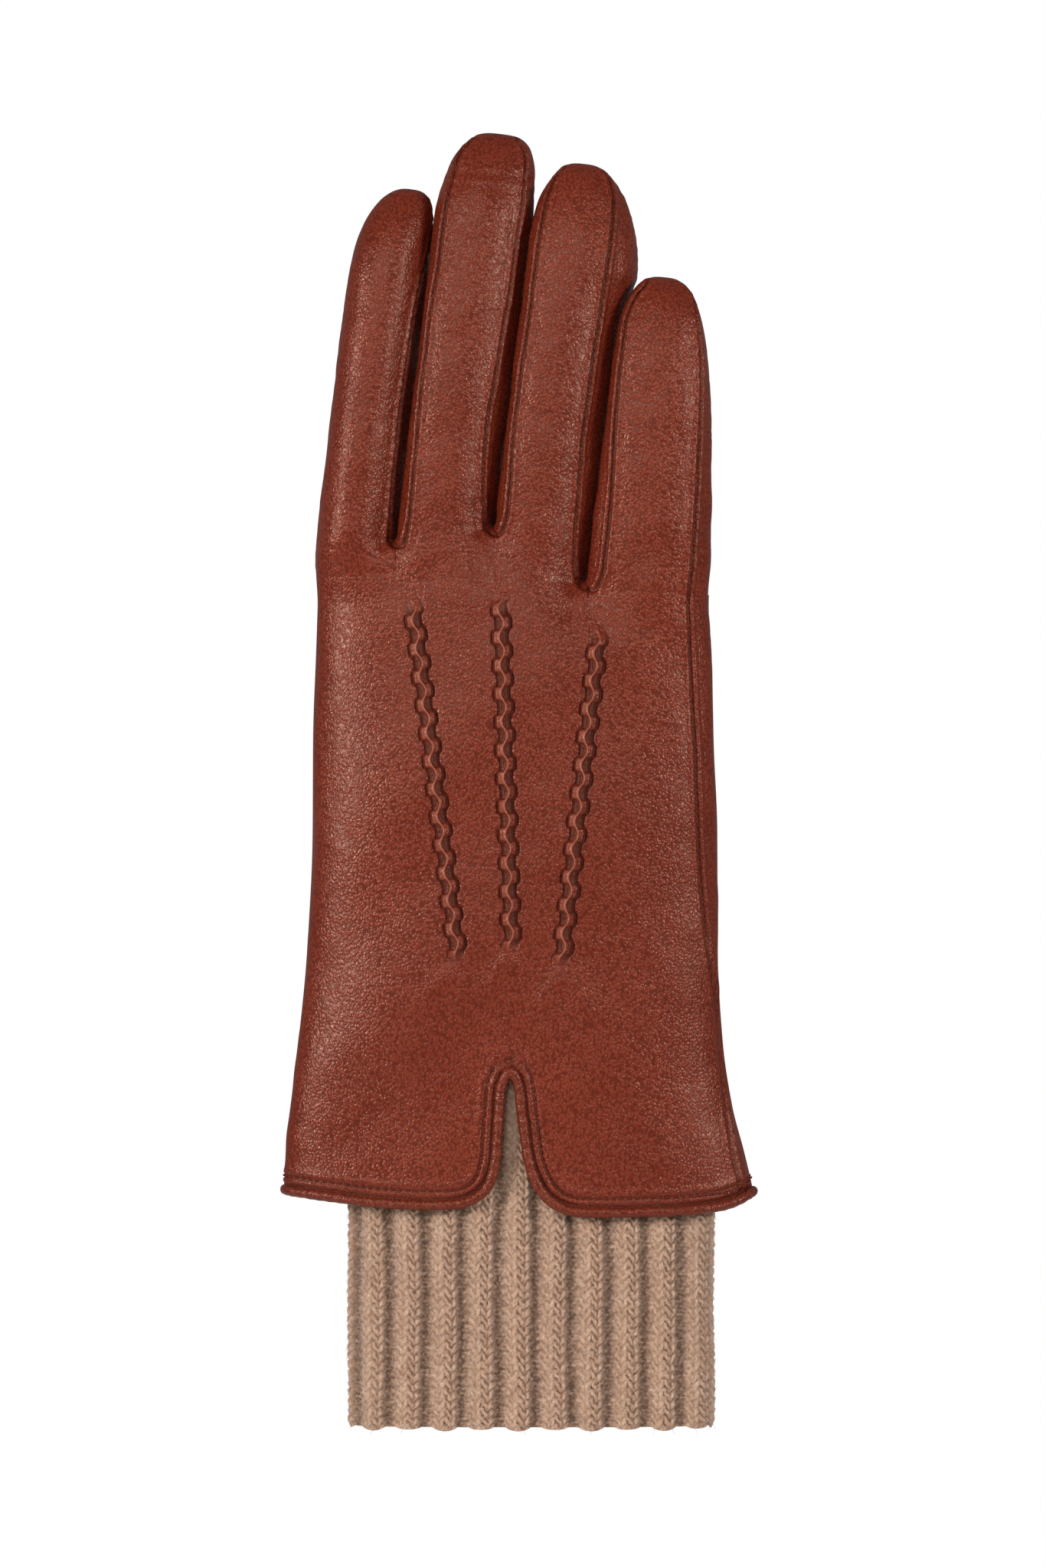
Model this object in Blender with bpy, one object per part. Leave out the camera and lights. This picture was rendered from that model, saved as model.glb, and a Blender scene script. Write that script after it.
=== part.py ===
"""Right-hand leather glove with a rib-knit cuff, standing fingers up.

Lengths are in millimetres in the constants and become metres where points are made.
+Z runs from the wrist to the fingertips, the back of the hand faces -Y and the
thumb side of the hand is at -X. The origin is the centre of the wrist opening.
"""

import math

import bpy
from mathutils import Vector
from mathutils.bvhtree import BVHTree

MM = 0.001

# driving dimensions
LEATHER = 1.0
LAYER_GAP = 0.35
LINING = 0.8
PANEL_GAP_DEG = 1.7
HEM_ROLL_R = 1.2
HEM_CLEAR = 0.45
CUFF_HALF_W = 39.6
CUFF_HALF_D = 10.3
CUFF_THICK = 1.8
CUFF_TOP = 78.0
CUFF_RIBS = 20
CUFF_RIB_H = 0.5
FINGER_LEAN_DEG = 6.7
CROTCH_Z = 194.0
FINGER_POWER = 2.4
HAND_POWER = 2.5
ROOT_FLEX = 75.0
MID_FLEX = 80.0
BACK_FLEX = 15.0
CURL = 0.0009
JOINT_GAP = 0.35
POINT_HEIGHT = 1.1
POINT_BASE = 0.9
POINT_BUMP = 1.1
PAD_THICK = 0.5

SIN_LEAN = math.sin(math.radians(FINGER_LEAN_DEG))
COS_LEAN = math.cos(math.radians(FINGER_LEAN_DEG))

# outline of the hand: height, left edge, right edge, half depth
HAND = (
    (46.0, -53.6, 49.0, 13.0),
    (52.0, -53.8, 48.2, 13.0),
    (60.0, -53.4, 46.4, 13.1),
    (70.0, -52.3, 43.8, 13.3),
    (84.0, -50.7, 41.7, 13.7),
    (104.0, -48.8, 40.6, 14.0),
    (130.0, -47.6, 40.5, 13.8),
    (150.0, -47.5, 39.7, 13.0),
    (170.0, -46.8, 39.4, 11.8),
    (194.0, -46.0, 39.6, 10.0),
)

# outside seam on the back: height, x
SEAM = (
    (46.0, 47.0),
    (54.0, 46.0),
    (60.0, 44.0),
    (72.0, 42.4),
    (84.0, 41.0),
    (96.0, 39.3),
    (106.0, 37.9),
    (126.0, 36.2),
    (154.0, 34.9),
    (181.0, 34.0),
)

# lower edge of the leather: x, height
HEM = (
    (-54.0, 51.0),
    (-44.0, 49.8),
    (-30.0, 48.3),
    (-15.0, 47.9),
    (6.0, 47.0),
    (14.0, 46.4),
    (28.0, 46.6),
    (42.0, 47.8),
    (49.0, 50.8),
)

# middle line of the rolled binding beside the vent, from its top down: x, height
VENT_LEFT = (
    (-6.4, 75.3), (-7.0, 69.5), (-7.4, 63.5), (-7.8, 58.5), (-9.2, 53.8), (-11.6, 51.2),
    (-15.2, 49.6), (-21.0, 49.2),
)
VENT_RIGHT = (
    (-2.8, 75.3), (-2.1, 69.5), (-1.3, 63.5), (-0.6, 58.9), (0.9, 54.5), (3.0, 51.2),
    (6.0, 48.9), (9.6, 47.8),
)
# edges of the leather beside the vent: height, left x, right x
VENT = (
    (49.4, -18.0, 11.5),
    (50.9, -17.0, 7.6),
    (53.0, -13.0, 4.7),
    (56.0, -10.4, 2.4),
    (63.5, -9.2, 0.5),
    (69.5, -8.8, -0.3),
    (76.8, -8.1, -1.1),
)
VENT_TOP_Z = 80.4
VENT_X = -4.5

# fingers: name, outline (s, left, right), crotch heights, hinge stations, tip, panel angles
FINGERS = (
    {
        "name": "index",
        "edges": (
            (-6, -46.2, -28.2), (8, -46.4, -29.0), (50, -46.4, -29.0), (58, -45.7, -29.0),
            (65, -43.8, -29.1), (69, -41.3, -29.7), (71.3, -38.6, -31.6), (72.2, -36.8, -34.2),
        ),
        "crotch": (-6.5, -5.9),
        "root": 7.0,
        "mid": 40.0,
        "back": (180.0, 307.0),
        "palm": (180.0, 42.0),
        "right": (307.0, 402.0),
        "left": None,
    },
    {
        "name": "middle",
        "edges": (
            (-6, -27.8, -8.0), (8, -28.6, -7.9), (60, -28.6, -7.9), (76, -27.6, -7.9),
            (81, -26.5, -8.0), (83.8, -24.4, -9.2), (85.7, -21.6, -12.6), (86.6, -19.0, -16.0),
        ),
        "crotch": (-5.9, -0.5),
        "root": 11.5,
        "mid": 46.0,
        "back": (191.0, 307.0),
        "palm": (138.0, 42.0),
        "right": (307.0, 402.0),
        "left": (191.0, 138.0),
    },
    {
        "name": "ring",
        "edges": (
            (-10, -7.5, 13.5), (30, -7.5, 13.5), (60, -7.5, 13.5), (70, -7.5, 13.3),
            (75, -7.3, 12.2), (78.6, -6.0, 10.2), (81.0, -3.0, 7.2), (82.1, 0.2, 4.0),
        ),
        "crotch": (-0.5, -10.0),
        "root": 11.5,
        "mid": 44.0,
        "back": (191.0, 305.0),
        "palm": (138.0, 42.0),
        "right": (305.0, 402.0),
        "left": (191.0, 138.0),
    },
    {
        "name": "little",
        "edges": (
            (-12, 13.9, 40.4), (5, 13.9, 39.2), (28, 13.9, 36.2), (41, 13.9, 33.8),
            (48, 13.9, 32.2), (53.7, 14.5, 29.9), (57.6, 17.2, 27.4), (59.4, 20.4, 24.2),
        ),
        "crotch": (-10.0, -10.0),
        "root": 2.0,
        "mid": 31.0,
        "back": (191.0, 306.0),
        "palm": (138.0, -54.0),
        "right": None,
        "left": (191.0, 138.0),
    },
)

# decorative points on the back: upper end and lower end, x and z
POINTS = (
    ("point_index", (-26.0, 181.0), (-15.8, 102.0)),
    ("point_middle", (-6.8, 182.0), (-4.3, 104.0)),
    ("point_ring", (14.8, 175.0), (6.3, 101.0)),
)

# thumb: start and end of its straight axis, and the stations of its hinges along it
THUMB_FROM = Vector((-23.0, 27.5, 119.0))
THUMB_TO = Vector((-14.0, 36.5, 167.0))
THUMB_ROOT = 3.0
THUMB_MID = 24.0
THUMB_HOLE = (-24.5, 103.0, 14.5, 18.0)
THUMB_POWER = 2.2
THUMB_ROOT_FLEX = 25.0
THUMB_MID_FLEX = 60.0
THUMB_SHAPE = ((0.0, 12.2, 11.0), (12.0, 11.6, 10.4), (30.0, 11.0, 9.8), (40.0, 10.2, 8.9),
               (45.5, 8.0, 7.0), (48.6, 5.0, 4.4), (49.8, 1.8, 1.6))

ROOT_STEPS = (0.0, 0.5, 1.0)
BASE_STEPS = (0.0, 0.5, 1.0)
TIP_SHARE = (0.0, 0.3, 0.55, 0.74, 0.86, 0.93, 0.975, 1.0)
HAND_STEPS = (0.0, 0.045, 0.11, 0.165, 0.208, 0.23, 0.32, 0.41, 0.50, 0.64, 0.78, 0.90, 1.0)

COLORS = {
    "leather": (0.205, 0.040, 0.022, 1.0),
    "leather_side": (0.165, 0.034, 0.019, 1.0),
    "binding": (0.185, 0.036, 0.020, 1.0),
    "knit": (0.240, 0.130, 0.075, 1.0),
    "lining": (0.300, 0.190, 0.120, 1.0),
    "touch": (0.120, 0.028, 0.018, 1.0),
}


def clear_objects():
    """Remove every object that is in the file."""
    for old in list(bpy.data.objects):
        bpy.data.objects.remove(old, do_unlink=True)


def material(name, look, rough):
    """A Principled material of its own for one object."""
    mat = bpy.data.materials.new(name + "_mat")
    mat.use_nodes = True
    shader = mat.node_tree.nodes["Principled BSDF"]
    shader.inputs["Base Color"].default_value = COLORS[look]
    shader.inputs["Roughness"].default_value = rough
    mat.diffuse_color = COLORS[look]
    return mat


def make(name, verts, faces, look, rough=0.5):
    """Make one mesh object out of points in millimetres."""
    mesh = bpy.data.meshes.new(name)
    mesh.from_pydata([Vector(v) * MM for v in verts], [], faces)
    mesh.update()
    mesh.materials.append(material(name, look, rough))
    obj = bpy.data.objects.new(name, mesh)
    bpy.context.scene.collection.objects.link(obj)
    return obj


def between(table, x, column=1):
    """Read one column of a table at x, in straight lines between its rows."""
    rows = sorted(table)
    if x <= rows[0][0]:
        return rows[0][column]
    for low, high in zip(rows, rows[1:]):
        if x <= high[0]:
            share = (x - low[0]) / (high[0] - low[0])
            return low[column] + (high[column] - low[column]) * share
    return rows[-1][column]


def smooth(x):
    """A step from 0 to 1 with level ends."""
    x = min(max(x, 0.0), 1.0)
    return x * x * (3.0 - 2.0 * x)


def lerp(a, b, share):
    """The value or point between a and b."""
    return a + (b - a) * share


def rounded(angle, power):
    """A point on the unit superellipse at an angle in degrees."""
    c = math.cos(math.radians(angle))
    s = math.sin(math.radians(angle))
    x = math.copysign(abs(c) ** (2.0 / power), c)
    y = math.copysign(abs(s) ** (2.0 / power), s)
    return x, y


def finger_depth(finger, s):
    """Half depth of a finger's section at station s."""
    edges = finger["edges"]
    width = between(edges, s, 2) - between(edges, s, 1)
    full = 9.4 - 0.012 * s
    start = edges[-5][0]
    widest = between(edges, start, 2) - between(edges, start, 1)
    if s <= start:
        return full
    return full * min(1.0, (width / widest)) ** 0.9


def finger_frame(s, across, y):
    """A point from its station, its place across the fingers and its depth."""
    x = across * COS_LEAN + s * SIN_LEAN
    z = CROTCH_Z + s * COS_LEAN - across * SIN_LEAN
    return Vector((x, y, z))


def finger_point(finger, s, angle):
    """A point on the outer skin of a finger."""
    left = between(finger["edges"], s, 1)
    right = between(finger["edges"], s, 2)
    x, y = rounded(angle, FINGER_POWER)
    middle = CURL * max(s, 0.0) ** 2
    across = (left + right) / 2.0 + (right - left) / 2.0 * x
    return finger_frame(s, across, middle + finger_depth(finger, s) * y)


def normal_of(surface, s, angle):
    """Outward normal of a surface of station and angle."""
    up = surface(s + 0.4, angle) - surface(s - 0.4, angle)
    round_about = surface(s, angle + 1.5) - surface(s, angle - 1.5)
    return round_about.cross(up).normalized()


def mitre(station, y, side, flex):
    """Station of a cut edge at depth y, on the lower (-1) or upper (+1) side of a hinge."""
    middle = CURL * station ** 2
    half = flex / 2.0 if y > middle else BACK_FLEX / 2.0
    slope = math.tan(math.radians(half + 1.5))
    return station + side * (JOINT_GAP + abs(y - middle) * slope)


def span(finger, part, angle):
    """First and last station of one part of a finger at an angle."""
    y = finger_point(finger, finger["mid"], angle).y
    y_low = finger_point(finger, finger["root"], angle).y
    if part == "base":
        return (mitre(finger["root"], y_low, 1, ROOT_FLEX),
                mitre(finger["mid"], y, -1, MID_FLEX))
    return mitre(finger["mid"], y, 1, MID_FLEX), finger["edges"][-1][0]


def shell(outer, inner, closed=False, cap=False):
    """Close two grids of points, outer and inner, into one solid."""
    rows = len(outer)
    cols = len(outer[0])
    verts = [p for row in outer for p in row] + [p for row in inner for p in row]
    far = rows * cols
    faces = []
    last = cols if closed else cols - 1
    for i in range(rows - 1):
        for j in range(last):
            k = (j + 1) % cols
            a, b = i * cols + j, i * cols + k
            c, d = (i + 1) * cols + k, (i + 1) * cols + j
            faces.append((a, b, c, d))
            faces.append((far + d, far + c, far + b, far + a))
    for j in range(last):
        k = (j + 1) % cols
        faces.append((far + j, far + k, k, j))
        if not cap:
            a, b = (rows - 1) * cols + j, (rows - 1) * cols + k
            faces.append((a, b, far + b, far + a))
    if not closed:
        for i in range(rows - 1):
            a, d = i * cols, (i + 1) * cols
            faces.append((a, d, far + d, far + a))
            b, c = i * cols + cols - 1, (i + 1) * cols + cols - 1
            faces.append((far + b, far + c, c, b))
    if cap:
        top = [(rows - 1) * cols + j for j in range(cols)]
        faces.append(tuple(top))
        faces.append(tuple(far + j for j in reversed(top)))
    return verts, faces


def offset_grid(surface, stations, angles, depth):
    """Points of a surface of station and angle, moved along its normal."""
    grid = []
    for share in stations:
        row = []
        for angle in angles:
            s = share(angle)
            row.append(surface(s, angle) + normal_of(surface, s, angle) * depth)
        grid.append(row)
    return grid


def spread(first, last, count):
    """Evenly spread values from first to last."""
    return [lerp(first, last, i / count) for i in range(count + 1)]


def rising(angles):
    """The same angles, in rising order."""
    return angles if angles[0] < angles[-1] else list(reversed(angles))


def part_stations(finger, part):
    """One function of the angle for each row of a finger's part."""
    shares = BASE_STEPS if part == "base" else TIP_SHARE
    rows = []
    for share in shares:
        rows.append(lambda a, f=share: lerp(span(finger, part, a)[0], span(finger, part, a)[1], f))
    return rows


def finger_panel(finger, part, panel, steps, look):
    """One leather panel of a finger's base or tip."""
    first, last = finger[panel]
    trim = PANEL_GAP_DEG if last > first else -PANEL_GAP_DEG
    angles = rising(spread(first + trim, last - trim, steps))

    def surface(s, angle):
        return finger_point(finger, s, angle)

    stations = part_stations(finger, part)
    outer = offset_grid(surface, stations, angles, 0.0)
    inner = offset_grid(surface, stations, angles, -LEATHER)
    verts, faces = shell(outer, inner)
    name = "%s_%s_%s" % (finger["name"], part, panel)
    make(name, verts, faces, look, 0.42)


def finger_lining(finger, part):
    """The lining tube of a finger's base or tip, closed at the fingertip."""
    angles = spread(0.0, 360.0, 12)[:-1]

    def surface(s, angle):
        return finger_point(finger, s, angle)

    stations = part_stations(finger, part)
    if part == "tip":
        stations = stations[:-2]
    depth = LEATHER + LAYER_GAP + (0.3 if part == "tip" else 0.0)
    outer = offset_grid(surface, stations, angles, -depth)
    inner = offset_grid(surface, stations, angles, -depth - LINING)
    if part == "tip":
        along = finger_frame(1, 0, 0) - finger_frame(0, 0, 0)
        for point in inner[-1]:
            point -= along * LINING
    verts, faces = shell(outer, inner, closed=True, cap=part == "tip")
    make("%s_%s_lining" % (finger["name"], part), verts, faces, "lining", 0.9)


def finger_parts(finger):
    """Every piece of one finger above its root hinge."""
    for part in ("base", "tip"):
        finger_panel(finger, part, "back", 5, "leather")
        finger_panel(finger, part, "palm", 7 if finger["name"] == "little" else 5, "leather")
        if finger["right"]:
            finger_panel(finger, part, "right", 3, "leather_side")
        if finger["left"]:
            finger_panel(finger, part, "left", 2, "leather_side")
        finger_lining(finger, part)


def hand_point(z, angle):
    """A point on the outer skin of the hand."""
    left, right = between(HAND, z, 1), between(HAND, z, 2)
    x, y = rounded(angle, HAND_POWER)
    return Vector(((left + right) / 2 + (right - left) / 2 * x, between(HAND, z, 3) * y, z))


def hand_depth(x, z):
    """Half depth of the hand at a place across it."""
    left, right = between(HAND, z, 1), between(HAND, z, 2)
    share = abs(x - (left + right) / 2) / ((right - left) / 2)
    rest = max(1.0 - min(share, 1.0) ** HAND_POWER, 0.0)
    return between(HAND, z, 3) * rest ** (1.0 / HAND_POWER)


def crotch_point(n, y):
    """The lowest point between finger n and the next."""
    s = FINGERS[n]["crotch"][1]
    right = between(FINGERS[n]["edges"], s, 2)
    left = between(FINGERS[n + 1]["edges"], s, 1)
    return finger_frame(s, (left + right) / 2, y)


def root_rows(finger, angle, share):
    """A point of a finger's root, from the crotch up to the hinge's cut."""
    y = finger_point(finger, finger["root"], angle).y
    return mitre(finger["root"], y, -1, ROOT_FLEX)


def stub_columns(n, panel, steps):
    """Angles and crotch stations of the columns of a panel on finger n."""
    finger = FINGERS[n]
    first, last = finger[panel]
    trim = PANEL_GAP_DEG if last > first else -PANEL_GAP_DEG
    angles = spread(first + trim, last - trim, steps)
    low, high = finger["crotch"]
    return [(angle, lerp(low, high, i / steps)) for i, angle in enumerate(angles)]


def panel_tops(panel, y_crotch, little_steps):
    """Top points of the columns, and which finger's stub stands on which columns."""
    tops, stubs = [], []
    for n in range(4):
        steps = little_steps if n == 3 else 4
        columns = stub_columns(n, panel, steps)
        start = len(tops) - 1 if n else 0
        for i, (angle, s) in enumerate(columns):
            if n and i == 0:
                continue
            if i == len(columns) - 1 and n < 3:
                tops.append(crotch_point(n, y_crotch))
            else:
                tops.append(finger_point(FINGERS[n], s, angle))
        stubs.append((n, start, columns))
    return tops, stubs


def finger_normal(n, s, angle):
    """Outward normal of a finger's skin."""
    return normal_of(lambda t, a: finger_point(FINGERS[n], t, a), s, angle)


def add_stubs(verts, quads, top_row, stubs, flip, known):
    """Grow a panel up each finger from its top row to the hinge's cut."""
    outward = Vector((0.0, -1.0 if flip else 1.0, 0.0))
    for n, start, columns in stubs:
        below = [top_row[start + i] for i in range(len(columns))]
        for i, (angle, s) in enumerate(columns):
            shared = (i == 0 and n) or (i == len(columns) - 1 and n < 3)
            known[below[i]] = outward if shared else finger_normal(n, s, angle)
        for share in (0.5, 1.0):
            row = []
            for angle, s in columns:
                end = root_rows(FINGERS[n], angle, 1.0)
                row.append(len(verts))
                station = lerp(s + 1.0, end, share)
                known[len(verts)] = finger_normal(n, station, angle)
                verts.append(finger_point(FINGERS[n], station, angle))
            for i in range(len(columns) - 1):
                quad = (below[i], below[i + 1], row[i + 1], row[i])
                quads.append(quad if flip else tuple(reversed(quad)))
            below = row


def vertex_normals(verts, quads):
    """Mean outward normal at each point of a sheet."""
    normals = [Vector() for _ in verts]
    for quad in quads:
        a, b, c, d = (verts[i] for i in quad)
        face = (c - a).cross(d - b)
        for i in quad:
            normals[i] += face
    return [n.normalized() if n.length else Vector((0, 0, 1)) for n in normals]


def hand_normal(point):
    """Outward normal of the hand's section at a point of its skin."""
    z = point.z
    left, right, half = between(HAND, z, 1), between(HAND, z, 2), between(HAND, z, 3)
    wide = (right - left) / 2
    x, y = (point.x - (left + right) / 2) / wide, point.y / half
    nx = math.copysign(abs(x) ** (HAND_POWER - 1.0), x) / wide
    ny = math.copysign(abs(y) ** (HAND_POWER - 1.0), y) / half
    return Vector((nx, ny, 0.0)).normalized()


def thicken(verts, quads, depth, known=None):
    """Close a sheet into a solid, with its second side at a depth behind it."""
    normals = vertex_normals(verts, quads)
    for i, normal in (known or {}).items():
        normals[i] = normal
    far = len(verts)
    solid = list(verts) + [v - n * depth for v, n in zip(verts, normals)]
    faces = list(quads) + [tuple(i + far for i in reversed(quad)) for quad in quads]
    edges = {}
    for quad in quads:
        for i in range(4):
            edges[(quad[i], quad[(i + 1) % 4])] = True
    for a, b in edges:
        if (b, a) not in edges:
            faces.append((b, a, a + far, b + far))
    return solid, faces


def vent_edge(z, side):
    """Edge of the leather beside the vent, clear of the rolled binding."""
    column = 1 if side < 0 else 2
    if z > 76.8:
        share = (VENT_TOP_Z - z) / (VENT_TOP_Z - 76.8)
        return lerp(VENT_X, between(VENT, 76.8, column), share)
    return between(VENT, z, column)


def centre_x(z, top):
    """The line from the vent's top to the middle crotch."""
    share = (z - VENT_TOP_Z) / (top.z - VENT_TOP_Z)
    return lerp(VENT_X, top.x, max(share, 0.0))


def back_x(top, z, tops, side):
    """Place across the back of the column below a top point."""
    inner = vent_edge(z, side) if z < VENT_TOP_Z - 0.01 else centre_x(z, tops[8])
    if side < 0:
        share = (top.x - tops[0].x) / (tops[8].x - tops[0].x)
        return lerp(between(HAND, z, 1), inner, share)
    share = (top.x - tops[8].x) / (tops[-1].x - tops[8].x)
    return lerp(inner, between(SEAM, z) - 0.2, share)


def back_row(step, tops, side):
    """One row of the back panel's points, of its left or right half."""
    half = tops[:9] if side < 0 else tops[8:]
    row = []
    for top in half:
        hem_z = between(HEM, back_x(top, 51.0, tops, side)) + 2 * HEM_ROLL_R + HEM_CLEAR
        z = lerp(hem_z, top.z, step)
        if step < 0.23:
            z = lerp(hem_z, VENT_TOP_Z, step / 0.23)
        elif step < 0.5:
            z = lerp(VENT_TOP_Z, lerp(hem_z, top.z, 0.5), (step - 0.23) / 0.27)
        x = back_x(top, z, tops, side)
        row.append(Vector((x, -hand_depth(x, z), z)))
    return row


def eased(row, tops, step):
    """Bend a row of the hand towards the shape of the finger roots."""
    out = []
    for point, top in zip(row, tops):
        share = smooth((point.z - 150.0) / max(top.z - 150.0, 1.0))
        out.append(Vector((lerp(point.x, top.x, share if step > 0.95 else 0.0),
                           lerp(point.y, top.y, share), point.z)))
    return out


def hand_back():
    """The leather of the back of the hand with its four finger roots."""
    tops, stubs = panel_tops("back", -4.6, 4)
    verts, quads, known = [], [], {}
    above = VENT_TOP_Z - 0.01
    previous = None
    for step in HAND_STEPS:
        left = eased(back_row(step, tops, -1), tops[:9], step)
        right = eased(back_row(step, tops, 1), tops[8:], step)
        if step == 1.0:
            left, right = list(tops[:9]), list(tops[8:])
        left[0].y = -LAYER_GAP
        ids = list(range(len(verts), len(verts) + 9))
        verts += left
        if left[8].z > above:
            more = [ids[8]] + list(range(len(verts), len(verts) + 8))
            verts += right[1:]
        else:
            more = list(range(len(verts), len(verts) + 9))
            verts += right
        if previous:
            for i in range(8):
                quads.append((previous[0][i], previous[0][i + 1], ids[i + 1], ids[i]))
                quads.append((previous[1][i], previous[1][i + 1], more[i + 1], more[i]))
        known[ids[0]] = Vector((-1.0, 0.0, 0.0))
        known[more[-1]] = hand_normal(verts[more[-1]])
        previous = (ids, more)
    add_stubs(verts, quads, previous[0] + previous[1][1:], stubs, True, known)
    solid, faces = thicken(verts, quads, LEATHER, known)
    make("hand_back", solid, faces, "leather", 0.42)
    return verts, quads


def seam_angle(z):
    """Angle of the outside seam on the hand's section, on the back."""
    left, right = between(HAND, z, 1), between(HAND, z, 2)
    share = (between(SEAM, z) + 0.4 - (left + right) / 2) / ((right - left) / 2)
    c = abs(min(share, 0.999)) ** (HAND_POWER / 2.0)
    return -math.degrees(math.acos(c))


def palm_angle(k, tops, z):
    """Angle on the hand's section of a palm column."""
    widest = max(range(len(tops)), key=lambda i: tops[i].x)
    if k > widest:
        return lerp(0.0, seam_angle(z), (k - widest) / (len(tops) - 1 - widest))
    share = (tops[k].x - tops[0].x) / (tops[widest].x - tops[0].x) * 2.0 - 1.0
    c = math.copysign(abs(share) ** (HAND_POWER / 2.0), share)
    return math.degrees(math.acos(max(-1.0, min(1.0, c))))


def palm_point(step, k, tops):
    """A point of the palm panel in column k."""
    top = tops[k]
    x_hem = hand_point(51.0, palm_angle(k, tops, 51.0)).x
    hem_z = between(HEM, x_hem) + 2 * HEM_ROLL_R + HEM_CLEAR
    z = lerp(hem_z, top.z, step)
    point = hand_point(z, palm_angle(k, tops, z))
    share = smooth((z - 150.0) / max(top.z - 150.0, 1.0))
    return Vector((lerp(point.x, top.x, share), lerp(point.y, top.y, share), z))


def hole_rim(share):
    """A point of the thumb hole's rim on the palm, from its lower left round."""
    x0, z0, rx, rz = THUMB_HOLE
    angle = math.radians(228.0 + 360.0 * share)
    x, z = x0 + rx * math.cos(angle), z0 + rz * math.sin(angle)
    return Vector((x, hand_depth(x, z), z))


def cut_hole(rows, low, high, first, last):
    """Move the grid points round the thumb hole on to its rim."""
    ring = [(low, k) for k in range(first, last)]
    ring += [(i, last) for i in range(low, high)]
    ring += [(high, k) for k in range(last, first, -1)]
    ring += [(i, first) for i in range(high, low, -1)]
    for n, (i, k) in enumerate(ring):
        rows[i][k] = hole_rim(n / len(ring))


def hand_palm():
    """The leather of the palm with its finger roots and its thumb hole."""
    tops, stubs = panel_tops("palm", 4.6, 11)
    cols = len(tops)
    rows = [[palm_point(step, k, tops) for k in range(cols)] for step in HAND_STEPS]
    rows[-1] = list(tops)
    for row in rows:
        row[0].y = LAYER_GAP
    low, high, first, last = HAND_STEPS.index(0.23), HAND_STEPS.index(0.50), 2, 7
    cut_hole(rows, low, high, first, last)
    verts = [p for row in rows for p in row]
    quads, known = [], {}
    for i in range(len(rows) - 1):
        known[i * cols] = Vector((-1.0, 0.0, 0.0))
        known[i * cols + cols - 1] = hand_normal(rows[i][-1])
        for k in range(cols - 1):
            if low <= i < high and first <= k < last:
                continue
            a, b = i * cols + k, i * cols + k + 1
            quads.append((b, a, a + cols, b + cols))
    top_row = list(range((len(rows) - 1) * cols, len(rows) * cols))
    add_stubs(verts, quads, top_row, stubs, False, known)
    used = sorted({i for quad in quads for i in quad})
    place = {old: new for new, old in enumerate(used)}
    verts = [verts[i] for i in used]
    quads = [tuple(place[i] for i in quad) for quad in quads]
    known = {place[i]: normal for i, normal in known.items() if i in place}
    solid, faces = thicken(verts, quads, LEATHER, known)
    make("hand_palm", solid, faces, "leather", 0.42)


def add_side(n, angles, low, share, verts, known):
    """One row of a fourchette's root on finger n, with its normals."""
    for angle in angles:
        s = lerp(low, root_rows(FINGERS[n], angle, 1), share)
        verts.append(finger_point(FINGERS[n], s, angle))
        known.append(finger_normal(n, s, angle))


def crotch_piece(n):
    """Two fourchettes joined at the crotch between finger n and the next."""
    here, there = FINGERS[n], FINGERS[n + 1]
    trim = PANEL_GAP_DEG
    down = spread(here["right"][0] + trim, here["right"][1] - trim, 4)
    up = spread(there["left"][0] - trim, there["left"][1] + trim, 4)
    bottom = crotch_point(n, 0.0)
    s0 = here["crotch"][1]
    verts, known = [], []
    for share, front, rear in ((1.0, 0.0, 0.0), (0.6, 4.0, 3.0), (0.2, 26.0, 18.0)):
        angles = spread(down[0] + front, down[-1] - rear, 4)
        add_side(n, angles, s0 + 1.2, share, verts, known)
    verts += [Vector((bottom.x, y, bottom.z + 0.9)) for y in spread(-2.2, 2.2, 4)]
    known += [finger_frame(1, 0, 0) - finger_frame(0, 0, 0)] * 5
    for share, rear in ((0.2, 18.0), (0.6, 3.0), (1.0, 0.0)):
        angles = spread(up[0], up[-1] + rear, 4)
        add_side(n + 1, angles, s0 + 1.2, share, verts, known)
    quads = []
    for i in range(6):
        for k in range(4):
            a, b = i * 5 + k, i * 5 + k + 1
            quads.append((a + 5, b + 5, b, a))
    solid, faces = thicken(verts, quads, LEATHER, dict(enumerate(known)))
    make("crotch_" + here["name"] + "_" + there["name"], solid, faces, "leather_side", 0.42)


def hand_lining():
    """The lining tube inside the hand."""
    angles = spread(0.0, 360.0, 28)[:-1]
    outer, inner = [], []
    for z, more in ((82.0, 1.7), (105.0, 1.7), (130.0, 1.7), (143.0, 2.0), (154.0, 3.2)):
        outer.append([inset(hand_point(z, a), z, LEATHER + more) for a in angles])
        inner.append([inset(hand_point(z, a), z, LEATHER + more + LINING) for a in angles])
    verts, faces = shell(outer, inner, closed=True)
    make("hand_lining", verts, faces, "lining", 0.9)


def inset(point, z, depth):
    """A point of the hand's section, moved inwards by a depth."""
    left, right, half = between(HAND, z, 1), between(HAND, z, 2), between(HAND, z, 3)
    middle, wide = (left + right) / 2, (right - left) / 2
    x = middle + (point.x - middle) * (wide - depth) / wide
    return Vector((x, point.y * (half - depth) / half, z))


def knit_cuff():
    """The rib-knit cuff, a flat tube with upright ribs."""
    count = CUFF_RIBS * 4
    heights = (0.0, 16.0, 32.0, 48.0, 64.0, CUFF_TOP)
    outline = cuff_outline(count)
    outer, inner = [], []
    for z in heights:
        outer.append([Vector((x, y, z)) for x, y in cuff_ring(outline, 1)])
        inner.append([Vector((x, y, z)) for x, y in cuff_ring(outline, 0)])
    verts, faces = shell(outer, inner, closed=True)
    make("knit_cuff", verts, faces, "knit", 0.95)


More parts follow.
